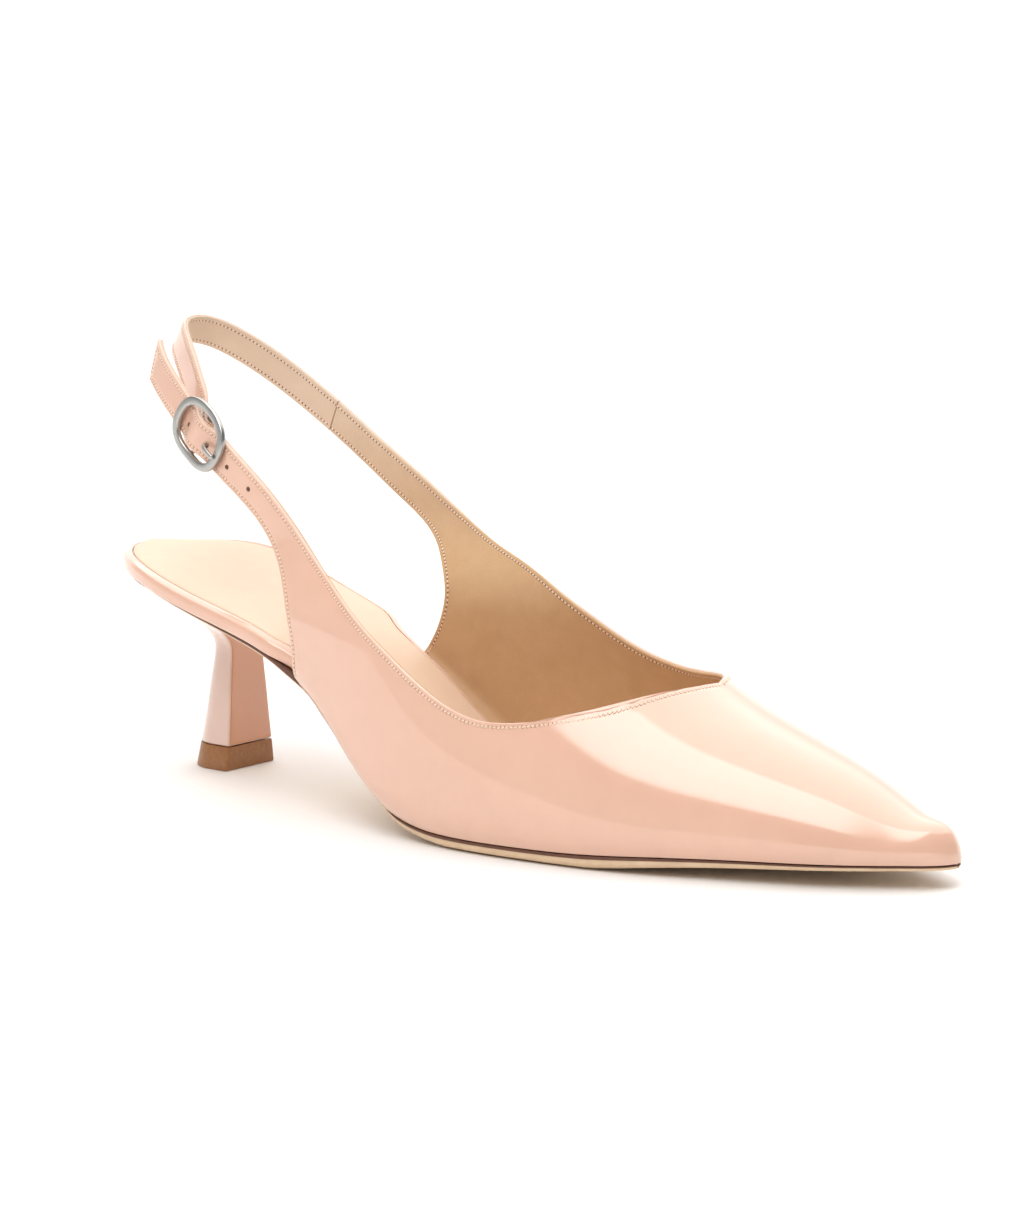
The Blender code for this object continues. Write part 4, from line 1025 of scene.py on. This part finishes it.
def strap_route():
    """Middle line of the strap in the ankle's axes, with its thickness and lean at each point."""
    centre = bar_centre()
    turn_radius = BAR_RADIUS + GAP + 0.5 * FOLD_THICK
    rows = np.stack([STRAP_RUN["back"] * ANKLE_DEPTH, STRAP_RUN["side"] * ANKLE_HALF_WIDTH], axis=-1)
    rows[0, 0] = SEAM_BACK + SEAM_GAP
    leave = unit(rows[-1] - centre)
    out = np.array([leave[1], -leave[0]])
    rows = np.concatenate([rows, [centre + out * turn_radius + leave * 0.0006]])
    lean = np.r_[STRAP_RUN["lean"], BUCKLE_LEAN]
    length = run_length(rows)
    places = np.r_[END_STEPS, np.linspace(0.0022, length[-1], 190)]
    main = curve_at(length, rows, places)
    pared = smooth((places - length[-1] + 1.2 * FOLD_LENGTH) / FOLD_LENGTH)
    thick = STRAP_THICK + (FOLD_THICK - STRAP_THICK) * pared
    angles = np.linspace(0.0, math.pi, 21)[:, None]
    wrap = centre + turn_radius * (np.cos(angles) * out - np.sin(angles) * leave)
    back_run = np.r_[np.linspace(0.0, 0.84, 24)[1:], 1.0 - END_STEPS[::-1] / FOLD_LENGTH][:, None]
    spacing = FOLD_THICK + GAP + 0.5 * (STRAP_THICK - FOLD_THICK)
    shift = 2.0 * turn_radius - (2.0 * turn_radius - spacing) * smooth(back_run * 1.6)
    fold = centre + out * (turn_radius - shift) + leave * FOLD_LENGTH * back_run
    path = np.concatenate([main, wrap[1:], fold])
    thick = np.r_[thick, np.full(len(path) - len(thick), FOLD_THICK)]
    lean_all = np.r_[spline(length, lean)(places), np.full(len(path) - len(main), lean[-1])]
    return path, thick, lean_all


def strap_grid():
    """Middle points, outward direction, thickness and edge distance over the strap's length and
    width; the seam end is slanted."""
    path, thick, lean = strap_route()
    run = unit(np.gradient(path, axis=0))
    out = np.stack([-run[:, 1], run[:, 0]], axis=-1)
    if out[0, 1] < 0.0:
        out = -out
    near = EDGE_STEPS[EDGE_STEPS < 0.0029]
    rows = np.r_[near, np.linspace(near[-1], STRAP_WIDTH - near[-1], 7)[1:-1], STRAP_WIDTH - near[::-1]]
    rows = rows - 0.5 * STRAP_WIDTH
    length = run_length(path)
    fade = 1.0 - smooth(length / 0.026)
    slant = (rows / STRAP_WIDTH * SEAM_SLANT)[None] * fade[:, None]
    plan = path[:, None] + run[:, None] * slant[..., None]
    middle = from_ankle(plan[..., 0], plan[..., 1], lean[:, None] + rows[None])
    direction = from_ankle(plan[..., 0] + 0.001 * out[:, None, 0], plan[..., 1] + 0.001 * out[:, None, 1],
                           lean[:, None] + rows[None]) - middle
    edge = np.minimum(rows + 0.5 * STRAP_WIDTH, 0.5 * STRAP_WIDTH - rows)[None]
    sewn = edge + 0.0 * length[:, None]
    end = np.minimum(length, length[-1] - length)[:, None]
    return middle, unit(direction), thick[:, None], np.minimum(edge, end), sewn, length


def strap_layer(name, grid, outer_share, inner_share, outer_round, inner_round, dent, finish, slot):
    """One layer of the strap, between two shares of its thickness."""
    middle, direction, thick, edge, sewn, _ = grid
    outer_at = thick * (0.5 - outer_share) - rounding(edge, outer_round) - dent * groove(sewn)
    inner_at = thick * (0.5 - inner_share) + rounding(edge, inner_round)
    outer = middle + direction * outer_at[..., None]
    inner = middle + direction * inner_at[..., None]
    loops = np.concatenate([outer, inner[:, ::-1]], axis=1)
    points, faces = loft(loops)
    return add_piece(name, points, faces, finish, slot, ("back_strap",))


def sew_strap(grid, thread, hole_shade):
    """Both rows of stitches along the strap, and the row across its fold beside the bar."""
    middle, direction, thick, _, _, length = grid
    outer = middle + direction * (0.5 * thick)[..., None]
    columns = outer.shape[1]
    near = int(np.argmin(np.abs(EDGE_STEPS - STITCH_INSET)))
    turned = length[-1] - FOLD_LENGTH - 0.0045
    found = []
    for row in (near, columns - 1 - near):
        line, face = outer[:, row], direction[:, row]
        stops = np.arange(0.0016, turned, STITCH_PITCH)
        points = np.stack([np.interp(stops, length, line[:, k]) for k in range(3)], axis=-1)
        normal = unit(np.stack([np.interp(stops, length, face[:, k]) for k in range(3)], axis=-1))
        deep = np.interp(stops, length, thick[:, 0])
        found.append((points, normal, unit(np.gradient(points, axis=0)), deep))
    points, normal, run, deep = (np.concatenate(column) for column in zip(*found))
    sew("strap", points, normal, run, deep[:, None], thread, hole_shade)


def super_wire(centres, sides, ups, half_side, half_up, power, count, closed):
    """Wire of superellipse section along a path with given side and up directions."""
    angle = np.linspace(0.0, 2.0 * math.pi, count, endpoint=False)
    c, s = np.cos(angle), np.sin(angle)
    across = signed_power(c, 2.0 / power)[None, :, None]
    rise = signed_power(s, 2.0 / power)[None, :, None]
    half_side = np.asarray(half_side, float).reshape(-1, 1, 1)
    half_up = np.asarray(half_up, float).reshape(-1, 1, 1)
    loops = centres[:, None] + across * half_side * sides[:, None] + rise * half_up * ups[:, None]
    return loft(loops, closed)


def ring_level(run):
    """Height of the ring off the ankle's face: its ends ride over the strap, its sides dip."""
    end = RING_REST + RING_THICK
    side = bar_level() + RING_DIP
    return side + (end - side) * (np.abs(run) / RING_HALF_LENGTH) ** RING_BOW


def build_buckle(finish):
    """Oval frame with a nearly flat top, and its bar bent down at both ends to pass under."""
    turn = np.linspace(0.0, 2.0 * math.pi, 144, endpoint=False)
    power = 2.0 / RING_SQUARENESS
    run = RING_HALF_LENGTH * signed_power(np.cos(turn), power)
    across = RING_HALF_WIDTH * signed_power(np.sin(turn), power)
    level = ring_level(run)
    centres = strap_frame(run - RING_AHEAD, across + RING_UP, level)
    ups = unit(strap_frame(run - RING_AHEAD, across + RING_UP, level + 0.001) - centres)
    sides = unit(np.cross(np.roll(centres, -1, axis=0) - np.roll(centres, 1, axis=0), ups))
    points, faces = super_wire(centres, sides, ups, RING_WIRE, RING_THICK, 3.2, 24, closed=True)
    add_piece("buckle_oval", points, faces, finish, "satin_nickel", ("buckle_frame",), sharp=60.0)
    reach = RING_HALF_WIDTH - 0.0012
    low = bar_level()
    high = float(ring_level(0.0))
    stops = np.array([(-RING_HALF_WIDTH, high), (-reach, low), (-0.5 * reach, low), (0.0, low),
                      (0.5 * reach, low), (reach, low), (RING_HALF_WIDTH, high)])
    length = run_length(stops)
    places = np.linspace(0.0, length[-1], 36)
    across = np.interp(places, length, stops[:, 0]) + RING_UP
    level = np.interp(places, length, stops[:, 1])
    centres = strap_frame(0.0, across, level)
    sides = unit(strap_frame(0.001, across, level) - centres)
    ups = unit(np.cross(np.gradient(centres, axis=0), sides))
    points, faces = super_wire(centres, sides, ups, BAR_RADIUS, BAR_RADIUS, 2.0, 16, closed=False)
    add_piece("buckle_bar", points, faces, finish, "satin_nickel", ("buckle_frame",))


def build_prong(finish):
    """Prong: from the bar up through the punched hole and on to the frame's front rim."""
    start = -(BAR_RADIUS + GAP + PRONG_RADIUS)
    low = bar_level()
    rest = float(ring_level(RING_HALF_LENGTH)) + RING_THICK + 0.5 * GAP + PRONG_RADIUS
    hole = -HOLE_OFFSET
    rim_end = -RING_HALF_LENGTH - RING_AHEAD - 0.2 * RING_WIRE
    stops = np.array([
        (start, low), (0.5 * (start + hole), low - 0.0002), (hole + 0.0007, low + 0.0001),
        (hole + 0.0001, low + 0.0010), (hole, -0.0002), (hole, 0.0009), (hole - 0.0005, 0.0018),
        (hole - 0.0016, rest - 0.0002), (rim_end + 0.0015, rest), (rim_end, rest)])
    length = run_length(stops)
    places = np.linspace(0.0, length[-1], 70)
    run = spline(length, stops[:, 0])(places)
    level = spline(length, stops[:, 1])(places)
    centres = strap_frame(run, 0.0, level)
    sides = unit(strap_frame(run, 0.001, level) - centres)
    ups = unit(np.cross(np.gradient(centres, axis=0), sides))
    tip = np.sqrt(np.clip((length[-1] - places) / 0.0005, 0.02, 1.0))
    points, faces = super_wire(centres, sides, ups, PRONG_RADIUS * 1.25 * tip, PRONG_RADIUS * tip, 3.0, 16,
                               closed=False)
    add_piece("prong_wire", points, faces, finish, "satin_nickel", ("buckle_prong",))


def build_holes(hole_shade):
    """Punched holes in the buckled strap: dished discs of painted shade on its face and on its lining."""
    rings, faces = [], []
    angle = np.linspace(0.0, 2.0 * math.pi, 20, endpoint=False)
    for step in (0,) + HOLE_STEPS:
        run = -HOLE_OFFSET - HOLE_PITCH * step
        centre = strap_frame(run, -HOLE_DROP, 0.0)
        lift = float(hump(centre[None])[0])
        for level in (lift + HOLE_LIFT, lift - WALL - HOLE_LIFT):
            start = sum(len(r) for r in rings)
            for radius, sink in ((1.0, 0.0), (0.8, HOLE_DISH)):
                rings.append(strap_frame(run + radius * HOLE_RADIUS * np.cos(angle),
                                         -HOLE_DROP + radius * HOLE_RADIUS * np.sin(angle), level + sink))
            k = np.arange(20)
            n = (k + 1) % 20
            faces += (start + np.stack([k, n, n + 20, k + 20], axis=-1)).tolist()
            faces.append((start + 20 + k).tolist())
    add_piece("punched_holes", np.concatenate(rings), faces, hole_shade, "lining_leather", (), turn_out=False)


# Shader node groups that several finishes share

def group(name, inputs, outputs):
    """Empty node group with float or vector inputs and float outputs."""
    made = bpy.data.node_groups.new(name, "ShaderNodeTree")
    for label, kind, value in inputs:
        socket = made.interface.new_socket(label, in_out="INPUT", socket_type=kind)
        if value is not None:
            socket.default_value = value
    for label in outputs:
        made.interface.new_socket(label, in_out="OUTPUT", socket_type="NodeSocketFloat")
    return made, made.nodes.new("NodeGroupInput"), made.nodes.new("NodeGroupOutput")


def math_node(tree, operation, first, second):
    """Math node on two sockets or numbers; its result."""
    made = tree.nodes.new("ShaderNodeMath")
    made.operation = operation
    for socket, value in zip(made.inputs, (first, second)):
        if isinstance(value, (int, float)):
            socket.default_value = value
        else:
            tree.links.new(value, socket)
    return made.outputs[0]


def ranged(tree, value, **ends):
    """Value mapped from one range to another, whose ends are given by the sockets' names."""
    node = tree.nodes.new("ShaderNodeMapRange")
    for label, number in ends.items():
        node.inputs[label.replace("_", " ")].default_value = number
    tree.links.new(value, node.inputs["Value"])
    return node.outputs[0]


def noise(tree, vector, scale, detail):
    """Noise at a scale that comes from a socket."""
    node = tree.nodes.new("ShaderNodeTexNoise")
    node.inputs["Detail"].default_value = detail
    tree.links.new(vector, node.inputs["Vector"])
    tree.links.new(scale, node.inputs["Scale"])
    return node.outputs["Fac"]


def texture_group(name, scale, outputs):
    """Group with a vector and a scale; it, both its input sockets and its output node."""
    made, enter, leave = group(name, [("Vector", "NodeSocketVector", None),
                                      ("Scale", "NodeSocketFloat", scale)], outputs)
    return made, enter.outputs["Vector"], enter.outputs["Scale"], leave


def mottle_group():
    """Slow change over the surface: the mean of two sizes of noise."""
    made, vector, scale, leave = texture_group("slow_mottle", 40.0, ["Value"])
    coarse = noise(made, vector, scale, 2.0)
    fine = noise(made, vector, math_node(made, "MULTIPLY", scale, 4.3), 3.0)
    total = math_node(made, "ADD", coarse, fine)
    made.links.new(math_node(made, "MULTIPLY", total, 0.5), leave.inputs["Value"])
    return made


def hide_group():
    """Leather grain: cells with creases between them, broken up by noise."""
    made, vector, scale, leave = texture_group("hide_grain", 1800.0, ["Height", "Crease"])
    cells = made.nodes.new("ShaderNodeTexVoronoi")
    cells.feature = "DISTANCE_TO_EDGE"
    made.links.new(vector, cells.inputs["Vector"])
    made.links.new(scale, cells.inputs["Scale"])
    rough = noise(made, vector, math_node(made, "MULTIPLY", scale, 0.7), 4.0)
    crease = ranged(made, cells.outputs["Distance"], From_Max=0.12, To_Min=1.0, To_Max=0.0)
    half_crease = math_node(made, "MULTIPLY", crease, 0.5)
    made.links.new(math_node(made, "SUBTRACT", rough, half_crease), leave.inputs["Height"])
    made.links.new(crease, leave.inputs["Crease"])
    return made


MOTTLE = mottle_group()
HIDE = hide_group()

# Colours, in pairs of a pale and a deep one
PATENT_COLOURS = (0.785, 0.475, 0.345), (0.755, 0.45, 0.325)
HEEL_COLOURS = (0.73, 0.51, 0.42), (0.70, 0.48, 0.39)
# Painted shade: the deeper colour of the heel's breast, which the arch shades
HEEL_BREAST_PAINTED_SHADE = (0.60, 0.25, 0.105)
LINING_COLOURS = (0.66, 0.425, 0.235), (0.61, 0.38, 0.20)
# Painted light: a paler copy of the lining's colours for the strap and the top of the quarters, where more
# light falls
LIT_SLING_COLOURS = (0.77, 0.60, 0.46), (0.73, 0.56, 0.42)
SOCK_COLOURS = (0.84, 0.62, 0.46), (0.81, 0.59, 0.43)
NATURAL_COLOURS = (0.80, 0.60, 0.40), (0.72, 0.51, 0.33)
DYED_COLOURS = (0.170, 0.070, 0.042), (0.110, 0.044, 0.026)
RUBBER_COLOURS = (0.37, 0.165, 0.060), (0.28, 0.120, 0.042)
NICKEL_COLOURS = (0.50, 0.495, 0.475), (0.42, 0.415, 0.395)
THREAD_COLOURS = (0.93, 0.74, 0.58), (0.84, 0.60, 0.44)
# Painted shade: the dark inside of needle holes and punched holes
HOLE_SHADE_COLOURS = (0.20, 0.085, 0.045), (0.09, 0.036, 0.020)
MOTTLE_SPAN = (0.35, 0.65)      # values of the mottle between which a colour changes
# Painted shade of the heel's breast: it deepens between these shares of facing forward
BREAST_SHADE_SPAN = (0.75, 0.92)      # how far forward the heel's face looks where its colour deepens
# Painted light: between these heights the lining pales to the strap's lit colours
LINING_LIGHT_BLEND = (0.058, 0.088)   # heights between which the quarter's lining pales to the strap's


def finish_base(name, **values):
    """Principled material with its constants set on the shader's own sockets."""
    made = bpy.data.materials.new(name)
    made.use_nodes = True
    shader = made.node_tree.nodes["Principled BSDF"]
    for label, value in values.items():
        shader.inputs[label.replace("_", " ")].default_value = value
    return made, made.node_tree, shader


def coordinates(tree):
    """Object coordinates of the piece."""
    return tree.nodes.new("ShaderNodeTexCoord").outputs["Object"]


def placed(tree, made_group, vector, scale):
    """A shared group in a material."""
    node = tree.nodes.new("ShaderNodeGroup")
    node.node_tree = made_group
    node.inputs["Scale"].default_value = scale
    tree.links.new(vector, node.inputs["Vector"])
    return node


def mottle(tree, vector, scale):
    """The slow mottle at a scale."""
    return placed(tree, MOTTLE, vector, scale).outputs[0]


def mixed(tree, factor, first, second):
    """Colour between two, by a factor socket."""
    node = tree.nodes.new("ShaderNodeMix")
    node.data_type = "RGBA"
    tree.links.new(factor, node.inputs["Factor"])
    for socket, value in ((node.inputs[6], first), (node.inputs[7], second)):
        if isinstance(value, tuple):
            socket.default_value = (*value, 1.0)
        else:
            tree.links.new(value, socket)
    return node.outputs[2]


def spread(tree, value, low, high):
    """Value stretched so that low to high becomes 0 to 1."""
    return ranged(tree, value, From_Min=low, From_Max=high)


def mottled(tree, value, pale, deep):
    """Colour that the mottle's value turns from pale to deep."""
    return mixed(tree, spread(tree, value, *MOTTLE_SPAN), pale, deep)


def bumped(tree, shader, height, strength, distance):
    """Height into the shader's normal."""
    node = tree.nodes.new("ShaderNodeBump")
    node.inputs["Strength"].default_value = strength
    node.inputs["Distance"].default_value = distance
    tree.links.new(height, node.inputs["Height"])
    tree.links.new(node.outputs[0], shader.inputs["Normal"])


def patent_finish(name, pale, deep, breast_shade=None):
    """Patent leather: pigment under a clear gloss coat, with the faint waves of a coated hide. On
    the heel a painted shade deepens the colour where the face looks forward, as the arch shades it."""
    made, tree, shader = finish_base(name, Roughness=0.32, Coat_Weight=1.0, Coat_Roughness=0.025,
                                     Coat_IOR=1.65, IOR=1.45)
    vector = coordinates(tree)
    colour = mottled(tree, mottle(tree, vector, 45.0), pale, deep)
    # Painted shade on the heel's breast, by how far its face looks forward
    if breast_shade:
        facing = tree.nodes.new("ShaderNodeSeparateXYZ")
        tree.links.new(tree.nodes.new("ShaderNodeNewGeometry").outputs["Normal"], facing.inputs[0])
        colour = mixed(tree, spread(tree, facing.outputs["X"], *BREAST_SHADE_SPAN), colour, breast_shade)
    tree.links.new(colour, shader.inputs["Base Color"])
    bumped(tree, shader, mottle(tree, vector, 110.0), 0.10, 0.0006)
    return made


def lining_finish(name, pale, deep, grain, strength, roughness, high=None):
    """Unfinished or waxed lining leather with a fine grain. Towards the strap it takes a second,
    paler pair of colours: painted light, paler higher up where more light falls."""
    made, tree, shader = finish_base(name, Roughness=roughness, IOR=1.42)
    vector = coordinates(tree)
    slow = mottle(tree, vector, 60.0)
    hide = placed(tree, HIDE, vector, grain)
    colour = mottled(tree, slow, pale, deep)
    # Painted light: the lining pales with height towards the strap
    if high:
        level = tree.nodes.new("ShaderNodeSeparateXYZ")
        tree.links.new(vector, level.inputs[0])
        upper = mottled(tree, slow, *high)
        colour = mixed(tree, spread(tree, level.outputs["Z"], *LINING_LIGHT_BLEND), colour, upper)
    darker = tuple(0.80 * c for c in deep)
    weight = math_node(tree, "MULTIPLY", hide.outputs["Crease"], 0.35)
    tree.links.new(mixed(tree, weight, colour, darker), shader.inputs["Base Color"])
    bumped(tree, shader, hide.outputs["Height"], strength, 0.00008)
    return made


def sole_finish():
    """Sole leather: dark dyed edge, pale bevel and tread, with a fine grain."""
    made, tree, shader = finish_base("sole_leather", Roughness=0.5, IOR=1.45)
    vector = coordinates(tree)
    dye = tree.nodes.new("ShaderNodeAttribute")
    dye.attribute_name = "dye"
    slow = mottle(tree, vector, 120.0)
    hide = placed(tree, HIDE, vector, 1500.0)
    natural = mottled(tree, slow, *NATURAL_COLOURS)
    dyed = mixed(tree, spread(tree, slow, 0.3, 0.7), *DYED_COLOURS)
    tree.links.new(mixed(tree, dye.outputs["Fac"], natural, dyed), shader.inputs["Base Color"])
    bumped(tree, shader, hide.outputs["Height"], 0.25, 0.0001)
    return made


def rubber_finish():
    """Brown top piece with fine flecks."""
    made, tree, shader = finish_base("top_piece_rubber", Roughness=0.42, IOR=1.5)
    flecks = mottle(tree, coordinates(tree), 900.0)
    tree.links.new(mottled(tree, flecks, *RUBBER_COLOURS), shader.inputs["Base Color"])
    bumped(tree, shader, flecks, 0.18, 0.0001)
    return made


def nickel_finish():
    """Satin nickel with a faint brushed unevenness."""
    made, tree, shader = finish_base("satin_nickel", Metallic=1.0)
    fine = mottle(tree, coordinates(tree), 1600.0)
    tree.links.new(mixed(tree, fine, *NICKEL_COLOURS), shader.inputs["Base Color"])
    tree.links.new(ranged(tree, fine, To_Min=0.24, To_Max=0.38), shader.inputs["Roughness"])
    bumped(tree, shader, fine, 0.06, 0.00005)
    return made


def thread_finish():
    """Cream thread with the twist of its plies."""
    made, tree, shader = finish_base("cream_thread", Roughness=0.55)
    twist = tree.nodes.new("ShaderNodeTexWave")
    twist.inputs["Scale"].default_value = 1500.0
    twist.inputs["Distortion"].default_value = 1.0
    tree.links.new(coordinates(tree), twist.inputs["Vector"])
    colour = mixed(tree, twist.outputs["Fac"], *THREAD_COLOURS)
    tree.links.new(colour, shader.inputs["Base Color"])
    bumped(tree, shader, twist.outputs["Fac"], 0.3, 0.00004)
    return made


def hole_shade_finish():
    """Painted shade for the inside of a hole, where the cut leather lies in shadow."""
    made, tree, shader = finish_base("painted_hole_shade", Roughness=0.85)
    colour = mixed(tree, mottle(tree, coordinates(tree), 2500.0), *HOLE_SHADE_COLOURS)
    tree.links.new(colour, shader.inputs["Base Color"])
    return made


# The photo's camera, plain light and floor

CAMERA_AZIMUTH = math.radians(36.89)
CAMERA_HEIGHT = math.radians(7.73)
CAMERA_DISTANCE = 0.9594
CAMERA_TARGET = (0.13447, 0.0, 0.0865)  # point that the distance is measured from
FRAMED_POINT = (0.0925, 0.0, 0.0480)   # middle of the one shoe, which the camera turns to
FRAMED_LENS = 146.0


def build_camera():
    """Camera at the photo's place, turned to the one shoe."""
    lens = bpy.data.cameras.new("camera")
    lens.sensor_fit = "HORIZONTAL"
    lens.sensor_width = 36.0
    lens.lens = FRAMED_LENS
    camera = scene_object("camera", lens)
    away = Vector((math.sin(CAMERA_AZIMUTH) * math.cos(CAMERA_HEIGHT),
                   -math.cos(CAMERA_AZIMUTH) * math.cos(CAMERA_HEIGHT), math.sin(CAMERA_HEIGHT)))
    camera.location = Vector(CAMERA_TARGET) + away * CAMERA_DISTANCE
    look = Vector(FRAMED_POINT) - camera.location
    camera.rotation_euler = look.to_track_quat("-Z", "Y").to_euler()
    bpy.context.scene.camera = camera


# Soft boxes all round the shoe, far off: bearing and height of the middle in degrees, half width
# and half height and the softness of the edge as tangents, and brightness
SOFT_BOXES = table("bearing height wide high soft bright", [
    (-75.0, 63.0, 0.34, 0.46, 0.08, 4.1),
    (104.0, 64.0, 0.80, 0.56, 0.14, 1.90),
    (118.0, 10.0, 1.60, 0.50, 0.30, 1.15),
    (-128.0, -4.0, 1.30, 0.62, 0.34, 0.45)])
SURROUND = 0.22
LIGHT_COLOUR = (1.0, 0.992, 0.982, 1.0)
FLOOR_COLOUR = (0.90, 0.895, 0.89, 1.0)
FLOOR_REACH = 40.0


def box_group():
    """Mask of a distant soft box: 1 where a direction passes through it. There the direction's
    parts to the side and up, each divided by its part towards the middle, lie within the halves."""
    made, enter, leave = group("soft_box", [
        ("Vector", "NodeSocketVector", None), ("Middle", "NodeSocketVector", None),
        ("Side", "NodeSocketVector", None), ("Up", "NodeSocketVector", None),
        ("Wide", "NodeSocketFloat", 1.0), ("High", "NodeSocketFloat", 1.0),
        ("Soft", "NodeSocketFloat", 0.1)], ["Value"])

    def dot(label):
        node = made.nodes.new("ShaderNodeVectorMath")
        node.operation = "DOT_PRODUCT"
        made.links.new(enter.outputs["Vector"], node.inputs[0])
        made.links.new(enter.outputs[label], node.inputs[1])
        return node.outputs["Value"]

    ahead = math_node(made, "MAXIMUM", dot("Middle"), 0.01)
    value = math_node(made, "GREATER_THAN", dot("Middle"), 0.01)
    for label, half in (("Side", "Wide"), ("Up", "High")):
        reach = math_node(made, "ABSOLUTE", math_node(made, "DIVIDE", dot(label), ahead), 0.0)
        fade = ranged(made, reach, To_Min=1.0, To_Max=0.0)
        fade.node.interpolation_type = "SMOOTHSTEP"
        for end, operation in (("From Min", "SUBTRACT"), ("From Max", "ADD")):
            place = math_node(made, operation, enter.outputs[half], enter.outputs["Soft"])
            made.links.new(place, fade.node.inputs[end])
        value = math_node(made, "MULTIPLY", value, fade)
    made.links.new(value, leave.inputs["Value"])
    return made


def build_light():
    """Studio surround: a dim, even light from all round, and the soft boxes of the table."""
    world = bpy.data.worlds.new("studio")
    world.use_nodes = True
    tree = world.node_tree
    background = tree.nodes["Background"]
    background.inputs["Color"].default_value = LIGHT_COLOUR
    direction = tree.nodes.new("ShaderNodeTexCoord").outputs["Generated"]
    shape = box_group()
    total = SURROUND
    for bearing, height, wide, high, soft, bright in zip(*SOFT_BOXES.values()):
        a, h = math.radians(bearing), math.radians(height)
        node = tree.nodes.new("ShaderNodeGroup")
        node.node_tree = shape
        tree.links.new(direction, node.inputs["Vector"])
        middle = (math.cos(a) * math.cos(h), math.sin(a) * math.cos(h), math.sin(h))
        side = (-math.sin(a), math.cos(a), 0.0)
        up = (-math.cos(a) * math.sin(h), -math.sin(a) * math.sin(h), math.cos(h))
        for label, value in (("Middle", middle), ("Side", side), ("Up", up), ("Wide", wide),
                             ("High", high), ("Soft", soft)):
            node.inputs[label].default_value = value
        total = math_node(tree, "ADD", math_node(tree, "MULTIPLY", node.outputs[0], float(bright)), total)
    tree.links.new(total, background.inputs["Strength"])
    bpy.context.scene.world = world


def build_floor():
    """Pale level floor that reaches far past the picture."""
    reach = FLOOR_REACH
    corners = [(-reach, -reach, 0.0), (reach, -reach, 0.0), (reach, reach, 0.0), (-reach, reach, 0.0)]
    mesh = bpy.data.meshes.new("floor")
    mesh.from_pydata(corners, [], [(0, 1, 2, 3)])
    floor = scene_object("floor", mesh)
    made, _, shader = finish_base("pale_floor", Roughness=0.7)
    shader.inputs["Base Color"].default_value = FLOOR_COLOUR
    mesh.materials.append(made)


def main():
    """Build each piece with its finish, then the camera, light and floor."""
    patent = patent_finish("peach_patent", *PATENT_COLOURS)
    lining = lining_finish("tan_lining", *LINING_COLOURS, grain=3200.0, strength=0.5, roughness=0.5,
                           high=LIT_SLING_COLOURS)
    # Lit copy of the lining: its paler colour is painted light
    lit_sling = lining_finish("sling_lining_lit_copy", *LIT_SLING_COLOURS, grain=3200.0, strength=0.5, roughness=0.5)
    sock = lining_finish("cream_sock", *SOCK_COLOURS, grain=3600.0, strength=0.2, roughness=0.42)
    thread = thread_finish()
    # Painted shade for the needle holes and the punched holes
    hole_shade = hole_shade_finish()
    nickel = nickel_finish()
    sides = [upper_side(LATERAL), upper_side(MEDIAL)]
    layer("patent_upper", sides, 0.0, PATENT, EDGE_ROUND, LAYER_ROUND, 1.0, patent,
          "patent_leather", ("upper",))
    layer("upper_lining", sides, PATENT, WALL, LAYER_ROUND, EDGE_ROUND, 0.0, lining,
          "lining_leather", ("upper",))
    for part, name in zip(sides, ("lateral", "medial")):
        points, normal, run = stitch_rows(part)
        sew(name, points, normal, run, WALL, thread, hole_shade)
    grid = strap_grid()
    strap_layer("strap_patent", grid, 0.0, STRAP_PATENT, EDGE_ROUND * 0.9, LAYER_ROUND, 1.0, patent,
                "patent_leather")
    strap_layer("strap_lining", grid, STRAP_PATENT, 1.0, LAYER_ROUND, EDGE_ROUND * 0.7, 0.0, lit_sling,
                "lining_leather")
    sew_strap(grid, thread, hole_shade)
    build_outsole(sole_finish())
    build_board(patent)
    build_sock(sock)
    # The heel's patent carries the painted shade of its breast
    build_heel(patent_finish("heel_patent", *HEEL_COLOURS, breast_shade=HEEL_BREAST_PAINTED_SHADE))
    build_top_piece(rubber_finish())
    build_buckle(nickel)
    build_prong(nickel)
    build_holes(hole_shade)
    build_camera()
    build_light()
    build_floor()
    bpy.context.scene.view_settings.view_transform = "Standard"


main()
